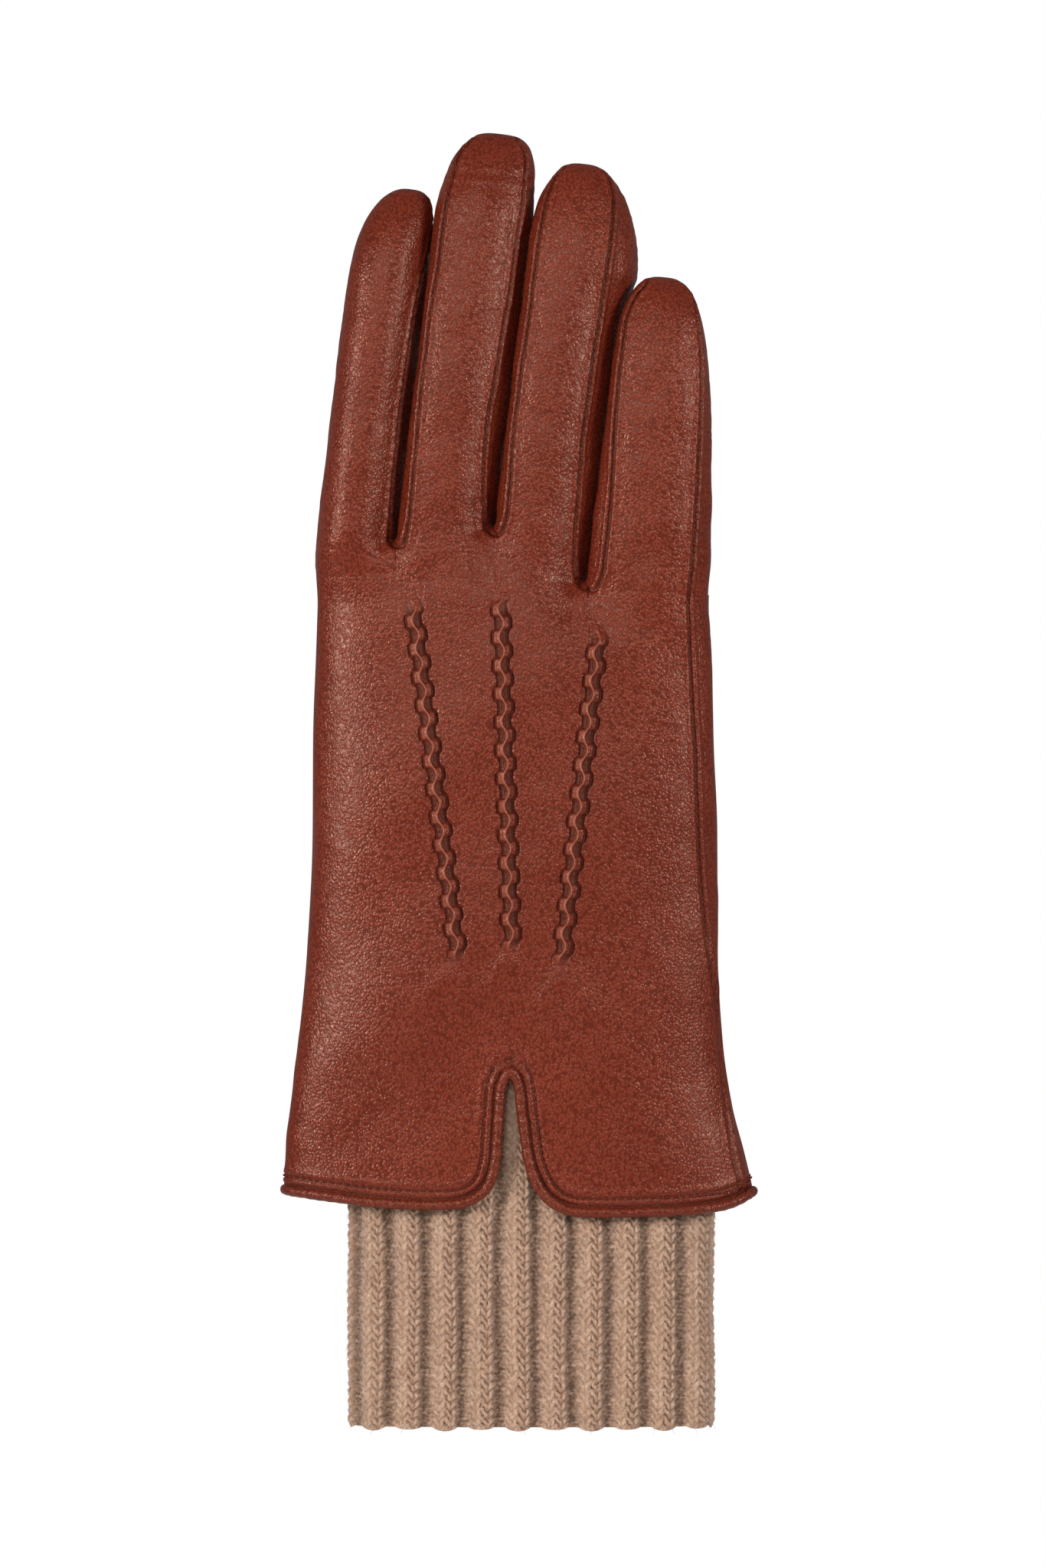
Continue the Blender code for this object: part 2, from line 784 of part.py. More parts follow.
def cuff_outline(count):
    """Evenly spaced points of the cuff's middle line, with their normals."""
    fine = [rounded(360.0 * i / 2000, 3.0) for i in range(2001)]
    wide, deep = CUFF_HALF_W - CUFF_THICK / 2, CUFF_HALF_D - CUFF_THICK / 2
    line = [(wide * x, deep * y) for x, y in fine]
    length = [0.0]
    for a, b in zip(line, line[1:]):
        length.append(length[-1] + math.hypot(b[0] - a[0], b[1] - a[1]))
    points, at = [], 0
    for i in range(count):
        want = length[-1] * i / count
        while length[at + 1] < want:
            at += 1
        a, b = line[at], line[(at + 1) % 2000]
        nx, ny = b[1] - a[1], a[0] - b[0]
        size = math.hypot(nx, ny) or 1.0
        points.append((a[0], a[1], nx / size, ny / size))
    return points


def cuff_ring(outline, outside):
    """The outer or inner outline of the cuff, ribbed outside."""
    ring = []
    for i, (x, y, nx, ny) in enumerate(outline):
        rib = CUFF_RIB_H * (0.5 if i % 4 in (0, 1) else -0.5)
        depth = CUFF_THICK / 2 + rib if outside else -CUFF_THICK / 2
        ring.append((x + nx * depth, y + ny * depth))
    return ring


def hem_path():
    """The middle line of the rolled binding round the hem and the vent."""
    path = []
    r = HEM_ROLL_R
    for x, z in VENT_LEFT:
        path.append(("back", x, z))
    for x in (-27.0, -35.0, -43.0):
        path.append(("back", x, between(HEM, x) + r))
    for angle in (206, 193, 180, 167, 152, 135, 116, 98, 82, 64, 45, 28, 13, 0, -13, -26):
        x = hand_point(50.0, angle).x
        path.append(("angle", angle, between(HEM, x) + r))
    for x in (39.0, 31.0, 23.0, 16.0):
        path.append(("back", x, between(HEM, x) + r))
    for x, z in reversed(VENT_RIGHT):
        path.append(("back", x, z))
    path.append(("back", VENT_X, 78.1))
    return path


def hem_roll():
    """The rolled leather binding as a closed round cord."""
    points, normals = [], []
    for kind, value, z in hem_path():
        if kind == "angle":
            point = hand_point(z, value)
        else:
            point = Vector((value, -hand_depth(value, z), z))
        flat = Vector((point.x * 0.06, point.y, 0.0)).normalized()
        if kind == "angle" and abs(point.y) < 9.0:
            flat = Vector((point.x * 0.35, point.y * 2.0, 0.0)).normalized()
        normals.append(flat)
        points.append(point - flat * (LEATHER / 2))
    verts, faces = [], []
    count, sides = len(points), 6
    for i, point in enumerate(points):
        along = (points[(i + 1) % count] - points[i - 1]).normalized()
        out = (normals[i] - along * normals[i].dot(along)).normalized()
        side = along.cross(out)
        for j in range(sides):
            turn = 2 * math.pi * j / sides
            verts.append(point + (out * math.cos(turn) + side * math.sin(turn)) * HEM_ROLL_R)
    for i in range(count):
        for j in range(sides):
            a, b = i * sides + j, i * sides + (j + 1) % sides
            c, d = ((i + 1) % count) * sides, (j + 1) % sides
            faces.append((a, b, c + d, c + j))
    make("hem_binding", verts, faces, "binding", 0.4)


def surface_height(tree, x, z):
    """Depth of the back panel's skin behind a point."""
    hit = tree.ray_cast(Vector((x, -100.0, z)), Vector((0.0, 1.0, 0.0)))
    return hit[0].y


def point_ridge(tree, name, top, bottom):
    """A decorative stitched pleat: a narrow ridge with bumps left and right in turn."""
    count = 26
    low_row, high_row = [], []
    for i in range(count + 1):
        share = i / count
        x, z = lerp(bottom[0], top[0], share), lerp(bottom[1], top[1], share)
        taper = min(1.0, share * 8.0 + 0.15, (1.0 - share) * 8.0 + 0.15)
        left = (POINT_BASE + POINT_BUMP * (i % 2)) * taper + 0.2
        right = (POINT_BASE + POINT_BUMP * ((i + 1) % 2)) * taper + 0.2
        base, crest = [], []
        for x_side in (x - left, x, x + right):
            y = surface_height(tree, x_side, z) - LAYER_GAP - 0.3
            base.append(Vector((x_side, y, z)))
        for k, point in enumerate(base):
            tall = POINT_HEIGHT * (1.0 if k == 1 else 0.55) * max(taper, 0.45)
            crest.append(point + Vector((0.0, -tall, 0.0)))
        low_row.append(base)
        high_row.append(crest)
    verts, faces = shell(high_row, low_row)
    make(name, verts, faces, "leather", 0.42)


def thumb_frame():
    """Axis of the thumb and the directions across and out of it."""
    along = (THUMB_TO - THUMB_FROM).normalized()
    across = Vector((1.0, 0.0, 0.0))
    across = (across - along * across.dot(along)).normalized()
    return along, across, along.cross(across).normalized() * 1.0


def thumb_point(s, angle):
    """A point on the outer skin of the thumb's straight part."""
    along, across, out = thumb_frame()
    x, y = rounded(angle, THUMB_POWER)
    wide, deep = between(THUMB_SHAPE, s, 1), between(THUMB_SHAPE, s, 2)
    return THUMB_FROM + along * s + across * (wide * x) + out * (deep * y)


def thumb_cut(station, angle, side, flex):
    """Station of a cut edge of the thumb beside one of its hinges."""
    x = rounded(angle, THUMB_POWER)[0] * 12.0
    half = flex / 2.0 if x > 0 else BACK_FLEX / 2.0
    return station + side * (JOINT_GAP + abs(x) * math.tan(math.radians(half + 1.5)))


def thumb_rows(part):
    """One function of the angle for each row of a part of the thumb."""
    tip = THUMB_SHAPE[-1][0]
    rows = []
    shares = (0.0, 0.5, 1.0) if part == "base" else (0.0, 0.35, 0.62, 0.82, 0.93, 1.0)
    for share in shares:
        if part == "base":
            rows.append(lambda a, f=share: lerp(thumb_cut(THUMB_ROOT, a, 1, THUMB_ROOT_FLEX),
                                                thumb_cut(THUMB_MID, a, -1, THUMB_MID_FLEX), f))
        else:
            rows.append(lambda a, f=share: lerp(thumb_cut(THUMB_MID, a, 1, THUMB_MID_FLEX),
                                                tip, f))
    return rows


def thumb_part(part):
    """Leather and lining of the thumb's base or tip."""
    angles = spread(0.0, 360.0, 16)[:-1]
    rows = thumb_rows(part)
    outer = offset_grid(thumb_point, rows, angles, 0.0)
    inner = offset_grid(thumb_point, rows, angles, -LEATHER)
    closed = part == "tip"
    along = thumb_frame()[0]
    if closed:
        for point in inner[-1]:
            point -= along * 0.2
    verts, faces = shell(outer, inner, closed=True, cap=closed)
    make("thumb_" + part, verts, faces, "leather", 0.42)
    depth = LEATHER + LAYER_GAP
    rows = rows[:-1] if closed else rows
    outer = offset_grid(thumb_point, rows, angles, -depth)
    inner = offset_grid(thumb_point, rows, angles, -depth - LINING)
    if closed:
        for point in inner[-1]:
            point -= along * LINING
    verts, faces = shell(outer, inner, closed=True, cap=closed)
    make("thumb_" + part + "_lining", verts, faces, "lining", 0.9)


def thumb_root_point(share, angle):
    """A point of the flared root, from the palm's hole to the thumb's first hinge."""
    x0, z0, rx, rz = THUMB_HOLE
    rim = 1.6
    x = x0 + (rx - rim) * math.cos(math.radians(angle))
    z = z0 - (rz - rim) * math.sin(math.radians(angle))
    low = Vector((x, hand_depth(x, z) + 0.2, z))
    cut = thumb_cut(THUMB_ROOT, angle, -1, THUMB_ROOT_FLEX)
    high = thumb_point(cut, angle)
    outer = (1.0 + math.sin(math.radians(angle))) / 2.0
    bend = low + Vector((0.0, 1.5 + 8.0 * outer, 0.0))
    under = high - thumb_frame()[0] * (2.0 + 9.0 * outer)
    a, b, c = lerp(low, bend, share), lerp(bend, under, share), lerp(under, high, share)
    return lerp(lerp(a, b, share), lerp(b, c, share), share)


def thumb_root():
    """The flared root of the thumb, sewn into the palm."""
    angles = spread(0.0, 360.0, 16)[:-1]
    outer = [[thumb_root_point(f, a) for a in angles] for f in (0.0, 0.3, 0.6, 1.0)]
    count = len(angles)
    quads = []
    verts = [p for row in outer for p in row]
    for i in range(len(outer) - 1):
        for k in range(count):
            a, b = i * count + k, i * count + (k + 1) % count
            quads.append((a, b, b + count, a + count))
    solid, faces = thicken(verts, quads, LEATHER)
    make("thumb_root", solid, faces, "leather", 0.42)


def touch_pad(name, surface, stations, angles):
    """A thin pad lying on the leather of a fingertip."""
    rows = [lambda a, s=s: s for s in stations]
    outer = offset_grid(surface, rows, angles, LAYER_GAP + PAD_THICK)
    inner = offset_grid(surface, rows, angles, LAYER_GAP)
    verts, faces = shell(outer, inner)
    make(name, verts, faces, "touch", 0.5)


def hinge_marks():
    """One empty on the middle of each hinge's axis."""
    for finger in FINGERS:
        for hinge in ("root", "mid"):
            s = finger[hinge]
            across = (between(finger["edges"], s, 1) + between(finger["edges"], s, 2)) / 2
            mark(finger["name"] + "_" + hinge, finger_frame(s, across, CURL * s * s))
    along = thumb_frame()[0]
    mark("thumb_root", THUMB_FROM + along * THUMB_ROOT)
    mark("thumb_mid", THUMB_FROM + along * THUMB_MID)


def mark(name, point):
    """An empty that marks a hinge."""
    empty = bpy.data.objects.new("hinge_" + name, None)
    empty.location = point * MM
    empty.empty_display_size = 0.01
    bpy.context.scene.collection.objects.link(empty)


def main():
    """Build the glove."""
    clear_objects()
    verts, quads = hand_back()
    hand_palm()
    hand_lining()
    knit_cuff()
    hem_roll()
    for n in range(3):
        crotch_piece(n)
    tree = BVHTree.FromPolygons(verts, quads)
    for name, top, bottom in POINTS:
        point_ridge(tree, name, top, bottom)
    for finger in FINGERS:
        finger_parts(finger)
    thumb_root()
    thumb_part("base")
    thumb_part("tip")
    index = FINGERS[0]
    touch_pad("index_touch_pad", lambda s, a: finger_point(index, s, a),
              (52.5, 57.0, 61.5, 65.0), spread(60.0, 120.0, 4))
    touch_pad("thumb_touch_pad", thumb_point, (33.0, 38.0, 42.0), spread(-40.0, 40.0, 4))
    hinge_marks()


main()
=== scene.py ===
"""Looks of a right-hand leather glove with a rib-knit cuff, standing fingers up.

Lengths are millimetres in the constants and become metres where a mesh is made.
The back of the hand faces -Y and the index finger is at -X. A finger is described
in the leaning frame of the four fingers: its station s runs up the finger and is 0
near the crotches, and "across" runs from the index finger to the little finger.
"""

import math

import bpy
import numpy as np
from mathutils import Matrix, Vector
from mathutils.bvhtree import BVHTree


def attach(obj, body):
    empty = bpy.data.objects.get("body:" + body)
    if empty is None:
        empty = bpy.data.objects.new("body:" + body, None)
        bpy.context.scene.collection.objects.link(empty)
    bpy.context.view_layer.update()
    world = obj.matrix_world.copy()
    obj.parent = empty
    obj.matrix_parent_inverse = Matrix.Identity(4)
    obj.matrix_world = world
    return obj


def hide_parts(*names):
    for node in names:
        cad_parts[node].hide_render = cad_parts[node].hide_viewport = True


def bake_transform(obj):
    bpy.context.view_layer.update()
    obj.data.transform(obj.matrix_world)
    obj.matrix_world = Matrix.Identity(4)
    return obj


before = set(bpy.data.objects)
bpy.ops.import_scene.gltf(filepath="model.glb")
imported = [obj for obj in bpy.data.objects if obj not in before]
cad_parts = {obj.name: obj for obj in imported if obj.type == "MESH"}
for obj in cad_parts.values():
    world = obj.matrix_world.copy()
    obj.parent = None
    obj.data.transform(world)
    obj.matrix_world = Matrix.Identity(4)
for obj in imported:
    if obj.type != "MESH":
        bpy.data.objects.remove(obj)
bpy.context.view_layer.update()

MM = 0.001
COARSE = 1

# ---------------------------------------------------------------- driving sizes
LEAN = math.radians(6.7)
COS_LEAN, SIN_LEAN = math.cos(LEAN), math.sin(LEAN)
CROTCH_Z = 194.0
CURL = 0.0009
FINGER_POWER = 2.4
HAND_POWER = 2.5
FINGER_DEPTH, DEPTH_TAPER = 9.4, 0.012
DEPTH_ROUND = (24.0, 2.2)
TIP_CROWDING = 1.45
ROOT_FADE = 17.0
WEB_DEPTH, WEB_REACH, WEB_POWER = 8.0, 5.5, 8
LINING_INSET = 1.5

# outline of the hand: height, left edge, right edge, half depth
HAND = np.array((
    (46.0, -53.6, 49.0, 13.0), (52.0, -53.8, 48.2, 13.0), (60.0, -53.4, 46.4, 13.1),
    (70.0, -52.3, 43.8, 13.3), (84.0, -50.7, 41.7, 13.7), (104.0, -48.8, 40.6, 14.0),
    (130.0, -47.6, 40.5, 13.8), (150.0, -47.5, 39.7, 13.0), (170.0, -46.8, 39.4, 11.8),
    (194.0, -46.0, 39.6, 10.0),
))

# outside seam on the back: height, x
SEAM = np.array((
    (46.0, 47.0), (54.0, 45.4), (60.0, 44.0), (70.0, 42.7), (82.0, 41.5), (93.0, 40.3),
    (102.0, 38.7), (112.0, 37.4), (128.0, 36.4), (151.0, 35.3), (166.0, 34.6), (179.0, 34.1),
    (186.0, 34.5),
))

# lower edge of the leather: x, height
HEM = np.array((
    (-54.0, 51.0), (-44.0, 49.8), (-30.0, 48.3), (-15.0, 47.9), (6.0, 47.0), (14.0, 46.4),
    (28.0, 46.6), (42.0, 47.8), (49.0, 50.8),
))
ROLL_R = 1.15
ROLL_PITCH = 2.4
STITCH_INSET = 3.1
STITCH_PITCH = 1.7
# rows of the hand's skin below the fingers: first and last distance, size of a row;
# distances past the first band stretch with the way to the hem
ROW_BANDS = ((0.0, 18.0, 0.4), (18.0, 128.0, 0.95), (128.0, 145.01, 0.5))
ROWS_REACH = 145.0
# where the hand's skin ends at the hem: x at both sides, height; height of its corners
HEM_ENDS, HEM_LEVEL, CORNER_LEVEL = (-53.7, 48.7), 52.0, 50.0
# place of the middle crotch: x, height
MIDDLE_CROTCH = (-7.5, 193.0)

# middle line of the rolled binding beside the vent, from its top down: x, height
VENT_LEFT = (
    (-6.4, 75.3), (-7.0, 69.5), (-7.4, 63.5), (-7.8, 58.5), (-9.2, 53.8), (-11.6, 51.2),
    (-15.2, 49.6), (-21.0, 49.2),
)
VENT_RIGHT = (
    (-2.8, 75.3), (-2.1, 69.5), (-1.3, 63.5), (-0.6, 58.9), (0.9, 54.5), (3.0, 51.2),
    (6.0, 48.9), (9.6, 47.8),
)
VENT_X, VENT_TOP = -4.5, 78.1

# each finger: edges at mid depth (station, across) and how far they lean with depth, its
# tip (across, station), the two sides' rounding there (first station, power), crotch
# stations left and right, seams on the back (station, across), seam angles on the palm
# side, and the root and middle joint zones, between which its skin is cut into two pieces
FINGERS = (
    dict(name="index", left=((-20, -46.4), (60, -46.4)), right=((-20, -29.2), (60, -29.2)),
         lean=(0.0, 0.28), tip=(-35.5, 72.5), round=((50.0, 2.05), (60.0, 3.4)),
         crotch=(-4.0, -4.0),
         seams=(None, ((-4, -30.6), (2, -31.2), (20, -31.4), (45, -31.0), (60, -29.6),
                       (67, -28.9), (70.3, -30.3), (72, -32.0))),
         palm_seams=(None, 42.0), root=(-3.6, 18.0), mid=(29.0, 51.0)),
    dict(name="middle", left=((-20, -28.7), (60, -28.8)), right=((-20, -8.0), (60, -8.0)),
         lean=(0.28, 0.3), tip=(-17.5, 86.9), round=((62.0, 2.6), (72.0, 3.4)),
         crotch=(-4.0, 1.5),
         seams=(((-4, -27.0), (1, -26.7), (21, -27.3), (42, -27.6), (56, -27.0), (71, -26.6),
                 (77, -26.1), (81.5, -25.0), (85, -22.6)),
                ((1.5, -10.4), (12, -11.9), (22, -12.3), (36, -11.7), (58, -10.7), (77, -10.4),
                 (81, -10.7), (84.5, -12.0), (86.5, -14.2))),
         palm_seams=(138.0, 42.0), root=(1.9, 21.5), mid=(35.0, 57.0)),
    dict(name="ring", left=((-20, -7.7), (60, -7.7)),
         right=((-20, 13.3), (47, 13.5), (53, 14.1), (57, 15.2), (60, 16.1), (64, 16.2)),
         lean=(0.3, 0.4), tip=(2.4, 82.5), round=((62.0, 2.8), (52.0, 2.25)),
         crotch=(1.5, -8.0),
         seams=(((1.5, -6.2), (4, -5.7), (10, -5.9), (23, -6.5), (45, -6.1), (60, -5.9),
                 (72, -5.4), (78.7, -4.0), (81, -2.0)),
                ((-8, 10.6), (-1, 9.5), (11, 9.0), (23, 8.6), (35, 8.7), (52, 9.3), (68, 9.6),
                 (75, 9.2), (79, 8.0), (82, 5.6))),
         palm_seams=(138.0, 42.0), root=(1.9, 21.5), mid=(33.0, 55.0)),
    dict(name="little", left=((-20, 13.8), (60, 13.8)),
         right=((-20, 41.0), (-12, 40.2), (5, 38.9), (28, 36.2), (41, 34.2), (60, 32.0)),
         lean=(0.4, 0.0), tip=(23.0, 59.8), round=((44.0, 2.9), (37.0, 2.4)),
         crotch=(-8.0, -8.0),
         seams=(((-8, 15.9), (-5, 16.4), (11, 16.1), (25, 15.3), (39, 14.8), (48, 14.9),
                 (54, 16.2), (58, 18.6)),
                ((-14, 36.0), (-8, 35.4), (0, 35.2), (14, 34.6), (20, 34.1), (30, 33.4), (37, 32.8),
                 (44, 31.8), (51, 30.2), (56, 28.7), (59.4, 25.8))),
         palm_seams=(138.0, None), root=(-7.6, 12.0), mid=(20.0, 42.0)),
)
# bottoms of the U-shaped seams between the fingers: station, and height of the round part
TROUGHS = ((-5.7, 2.0), (-0.6, 2.4), (-10.2, 3.2))

# stations where the outside seam passes from the little finger to the hand
HANDOVER_LOW, HANDOVER_HIGH = (-10.2, -8.2), (-10.5, -8.6)

# decorative points on the back: upper end and lower end, x and z
POINTS = (
    ("point_index", (-26.0, 181.5), (-15.8, 101.5)),
    ("point_middle", (-6.8, 182.5), (-4.3, 103.5)),
    ("point_ring", (14.8, 175.5), (6.3, 100.5)),
)
POINT_PERIOD = 6.1
POINT_EDGES = (-3.9, 4.1)
# soft folds fanning out below the points: start x, z and end x, z
FOLDS = ((-16.8, 101.0, -24.5, 91.5), (-16.8, 101.0, -14.0, 87.0), (-4.6, 105.0, -10.2, 93.5),
         (-4.6, 105.0, -3.4, 88.5), (5.8, 100.0, 2.0, 89.0), (5.8, 100.5, 13.0, 90.5))
# faint creases across the back below the fingers: height, tilt, depth
BACK_CREASES = ((189.5, 0.05, 0.13), (186.2, -0.04, 0.1), (182.6, 0.06, 0.12),
                (178.0, 0.03, 0.07), (172.5, -0.05, 0.06))

# thumb: ends of its straight axis, its shape and the hole that it is sewn into
THUMB_FROM = np.array((-23.0, 27.5, 119.0))
THUMB_TO = np.array((-14.0, 36.5, 167.0))
THUMB_SHAPE = np.array(((-9.0, 12.6, 11.2), (0.0, 12.2, 11.0), (12.0, 11.6, 10.4),
                        (30.0, 11.0, 9.8)))
THUMB_TIP, THUMB_ROUND = 50.0, (30.0, 2.3)
THUMB_POWER = 2.2
THUMB_HOLE = (-24.5, 103.0, 14.5, 18.0)
THUMB_ROOT_ZONE = (-7.0, 13.0)
THUMB_MID_ZONE = (13.5, 35.0)
THUMB_SEAMS = (200.0, 340.0)

# rib-knit cuff
CUFF_HALF_W, CUFF_HALF_D, CUFF_POWER = 39.0, 9.9, 3.0
CUFF_TOP, CUFF_SHOWN = 78.0, 77.0
CUFF_RIBS = 22
CUFF_PHASE = 0.2
ROW_PITCH = 2.0
RIB_SHARE = 0.67
KNIT_DEEP = 1.6
# across one rib and its valley: place, height, lightness; the lightness is painted shade, darkest
# in the valley at the rib's right side
RIB_PROFILE = (
    (0.0, 0.10, 0.30, 0.50, 0.60, 0.665, 0.70, 0.78, 0.88, 0.95, 1.0),
    (0.50, 0.76, 0.92, 0.95, 0.86, 0.50, 0.10, 0.00, 0.10, 0.28, 0.50),
    (0.72, 0.95, 1.0, 1.0, 0.95, 0.50, 0.16, 0.10, 0.26, 0.50, 0.72),
)
# inner face of the cuff: height, inset
CUFF_INSIDE = np.array(((CUFF_TOP, 1.6), (70.0, 1.6), (50.0, 1.6), (30.0, 1.6), (12.0, 1.6),
                        (4.0, 1.6), (2.2, 1.45), (1.3, 1.15)))
FIBRE_ENDS = 5200


# ---------------------------------------------------------------- curves and noise
def table_curve(table, x, column=1):
    """A smooth curve through the rows of a table, without overshoot."""
    rows = np.asarray(table, float)
    xs, ys = rows[:, 0], rows[:, column]
    step = np.diff(xs)
    slope = np.diff(ys) / step
    tangent = np.zeros(len(xs))
    tangent[0], tangent[-1] = slope[0], slope[-1]
    for i in range(1, len(xs) - 1):
        if slope[i - 1] * slope[i] > 0:
            w1, w2 = 2 * step[i] + step[i - 1], step[i] + 2 * step[i - 1]
            tangent[i] = (w1 + w2) / (w1 / slope[i - 1] + w2 / slope[i])
    x = np.clip(x, xs[0], xs[-1])
    i = np.clip(np.searchsorted(xs, x, side="right") - 1, 0, len(xs) - 2)
    t = (x - xs[i]) / step[i]
    return (ys[i] * (1 + 2 * t) * (1 - t) ** 2 + tangent[i] * step[i] * t * (1 - t) ** 2
            + ys[i + 1] * t * t * (3 - 2 * t) + tangent[i + 1] * step[i] * t * t * (t - 1))


def step_up(x, low, high):
    """0 below low, 1 above high, smooth between them."""
    t = np.clip((x - low) / (high - low), 0.0, 1.0)
    return t * t * (3 - 2 * t)


def hump(x, middle, width):
    """A bell curve of height 1."""
    return np.exp(-((x - middle) / width) ** 2)


def waves(points, size, seed, count=9):
    """Soft seeded unevenness between about -1 and 1, with features of one size."""
    rng = np.random.default_rng(seed)
    total = np.zeros(points.shape[:-1])
    for _ in range(count):
        way = rng.normal(size=3)
        way *= (2 * np.pi / size) * rng.uniform(0.6, 1.5) / np.linalg.norm(way)
        total += np.sin(points @ way + rng.uniform(0, 2 * np.pi))
    return total / math.sqrt(count)


def superellipse(angle, power):
    """Points of the unit superellipse at angles in degrees."""
    c, s = np.cos(np.radians(angle)), np.sin(np.radians(angle))
    return (np.sign(c) * np.abs(c) ** (2.0 / power), np.sign(s) * np.abs(s) ** (2.0 / power))


def tip_round(s, first, last, power):
    """Share of the full width that is left at station s of a rounded tip."""
    u = np.clip((s - first) / (last - first), 0.0, 1.0)
    return (1.0 - u ** power) ** (1.0 / power)


def unit(vectors):
    """The same directions with length 1."""
    return vectors / np.linalg.norm(vectors, axis=-1, keepdims=True)


def full_turn(count):
    """Evenly spread angles in degrees, once round."""
    return np.linspace(0.0, 360.0, count + 1)[:-1]


# ---------------------------------------------------------------- mesh helpers
def grid_faces(rows, cols, closed=False, flip=False):
    """Quads of a grid of points, as an array of corner numbers."""
    i, j = np.meshgrid(np.arange(rows - 1), np.arange(cols if closed else cols - 1),
                       indexing="ij")
    k = (j + 1) % cols
    quads = np.stack((i * cols + j, i * cols + k, (i + 1) * cols + k, (i + 1) * cols + j), -1)
    quads = quads.reshape(-1, 4)
    return quads[:, ::-1] if flip else quads


def tube_faces(rows, cols, capped):
    """Quads of a tube, with a face over its last ring where it is a tip."""
    faces = list(grid_faces(rows, cols, closed=True))
    if capped:
        faces.append(tuple((rows - 1) * cols + j for j in range(cols)))
    return faces


def grid_normals(points, closed=False):
    """Unit normals of a grid of points."""
    up = np.gradient(points, axis=0)
    if closed:
        side = (np.roll(points, -1, 1) - np.roll(points, 1, 1)) / 2
    else:
        side = np.gradient(points, axis=1)
    normal = np.cross(side, up)
    size = np.linalg.norm(normal, axis=-1, keepdims=True)
    return normal / np.maximum(size, 1e-9)


def make_mesh(name, points, faces, mat, **layers):
    """A smooth-shaded object from points in millimetres, with float layers on its points."""
    flat = np.asarray(points, float).reshape(-1, 3)
    mesh = bpy.data.meshes.new(name)
    mesh.from_pydata((flat * MM).tolist(), [], [tuple(int(i) for i in f) for f in faces])
    mesh.update()
    rest = mesh.attributes.new("rest", "FLOAT_VECTOR", "POINT")
    rest.data.foreach_set("vector", flat.astype(np.float32).ravel())
    for key, values in layers.items():
        layer = mesh.attributes.new(key, "FLOAT", "POINT")
        layer.data.foreach_set("value", np.asarray(values, np.float32).ravel())
    mesh.polygons.foreach_set("use_smooth", [True] * len(mesh.polygons))
    mesh.materials.append(mat)
    obj = bpy.data.objects.new(name, mesh)
    bpy.context.scene.collection.objects.link(obj)
    return obj


# ---------------------------------------------------------------- finger surfaces
def in_frame(across, s, y):
    """Points of the glove from their place across the fingers, station and depth."""
    x = across * COS_LEAN + s * SIN_LEAN
    z = CROTCH_Z + s * COS_LEAN - across * SIN_LEAN
    return np.stack(np.broadcast_arrays(x, y, z), -1)


def finger_surface(finger, s, angle, inset=0.0):
    """Points of a finger's skin at stations and angles in degrees."""
    s, angle = np.broadcast_arrays(np.asarray(s, float), np.asarray(angle, float))
    apex, last = finger["tip"]
    last = last - inset
    left, right = (table_curve(finger[side], s) for side in ("left", "right"))
    round_left, round_right = finger["round"]
    left = apex - (apex - left - inset) * tip_round(s, round_left[0], last, round_left[1])
    right = apex + (right - inset - apex) * tip_round(s, round_right[0], last, round_right[1])
    fade = tip_round(s, last - DEPTH_ROUND[0], last, DEPTH_ROUND[1])
    x, y = superellipse(angle, FINGER_POWER)
    y = y * (FINGER_DEPTH - DEPTH_TAPER * s - inset) * fade
    share = (1 + x) / 2
    lean_left, lean_right = finger["lean"]
    across = (left + lean_left * y * fade) * (1 - share) + (right + lean_right * y * fade) * share
    return in_frame(across, s, CURL * np.maximum(s, 0.0) ** 2 + y)


SEAM_ANGLES = {}


def seam_angle(finger, side, s):
    """Angle of a seam on the back of a finger at stations s."""
    key = (finger["name"], side)
    if key in SEAM_ANGLES:
        return np.interp(s, *SEAM_ANGLES[key])
    table = finger["seams"][side]
    grid = np.linspace(-16.0, finger["tip"][1] - 0.2, 120)
    want = table_curve(table, grid)
    turns = np.linspace(270.0, 359.0 if side else 181.0, 240)
    found = []
    for station, target in zip(grid, want):
        line = finger_surface(finger, station, turns)
        across = line[:, 0] * COS_LEAN - (line[:, 2] - CROTCH_Z) * SIN_LEAN
        across = np.maximum.accumulate(across) if side else np.minimum.accumulate(across)
        across = across + (1e-6 if side else -1e-6) * np.arange(len(across))
        found.append(np.interp(target, *ordered(across, turns)))
    SEAM_ANGLES[key] = (grid, np.array(found))
    return np.interp(s, grid, found)


def section_columns(finger, first, last, coarse=0.85, fine=0.24):
    """Angles round a finger's section, closer together beside its seams."""
    angles = np.linspace(first, last, 1500)
    line = finger_surface(finger, 20.0, angles)
    length = np.concatenate(([0], np.cumsum(np.linalg.norm(np.diff(line, axis=0), axis=1))))
    spots = []
    seams = [seam_angle(finger, k, 20.0) if finger["seams"][k] else None for k in (0, 1)]
    for seam in tuple(seams) + finger["palm_seams"]:
        if seam is not None:
            for turn in (seam, seam - 360.0, seam + 360.0):
                if min(first, last) <= turn <= max(first, last):
                    spots.append(float(np.interp(turn, *ordered(angles, length))))
    gap = np.full(len(angles), coarse * COARSE)
    for spot in spots:
        near = step_up(np.abs(length - spot), 2.2, 3.6)
        gap = np.minimum(gap, fine * COARSE + (coarse - fine) * COARSE * near)
    count = np.concatenate(([0], np.cumsum(np.diff(length) / ((gap[1:] + gap[:-1]) / 2))))
    total = max(int(round(count[-1])), 8)
    return np.interp(np.arange(total + 1) / total * count[-1], count, angles)


def ordered(a, b):
    """Both lists with the first one rising."""
    return (a, b) if a[0] < a[-1] else (a[::-1], b[::-1])


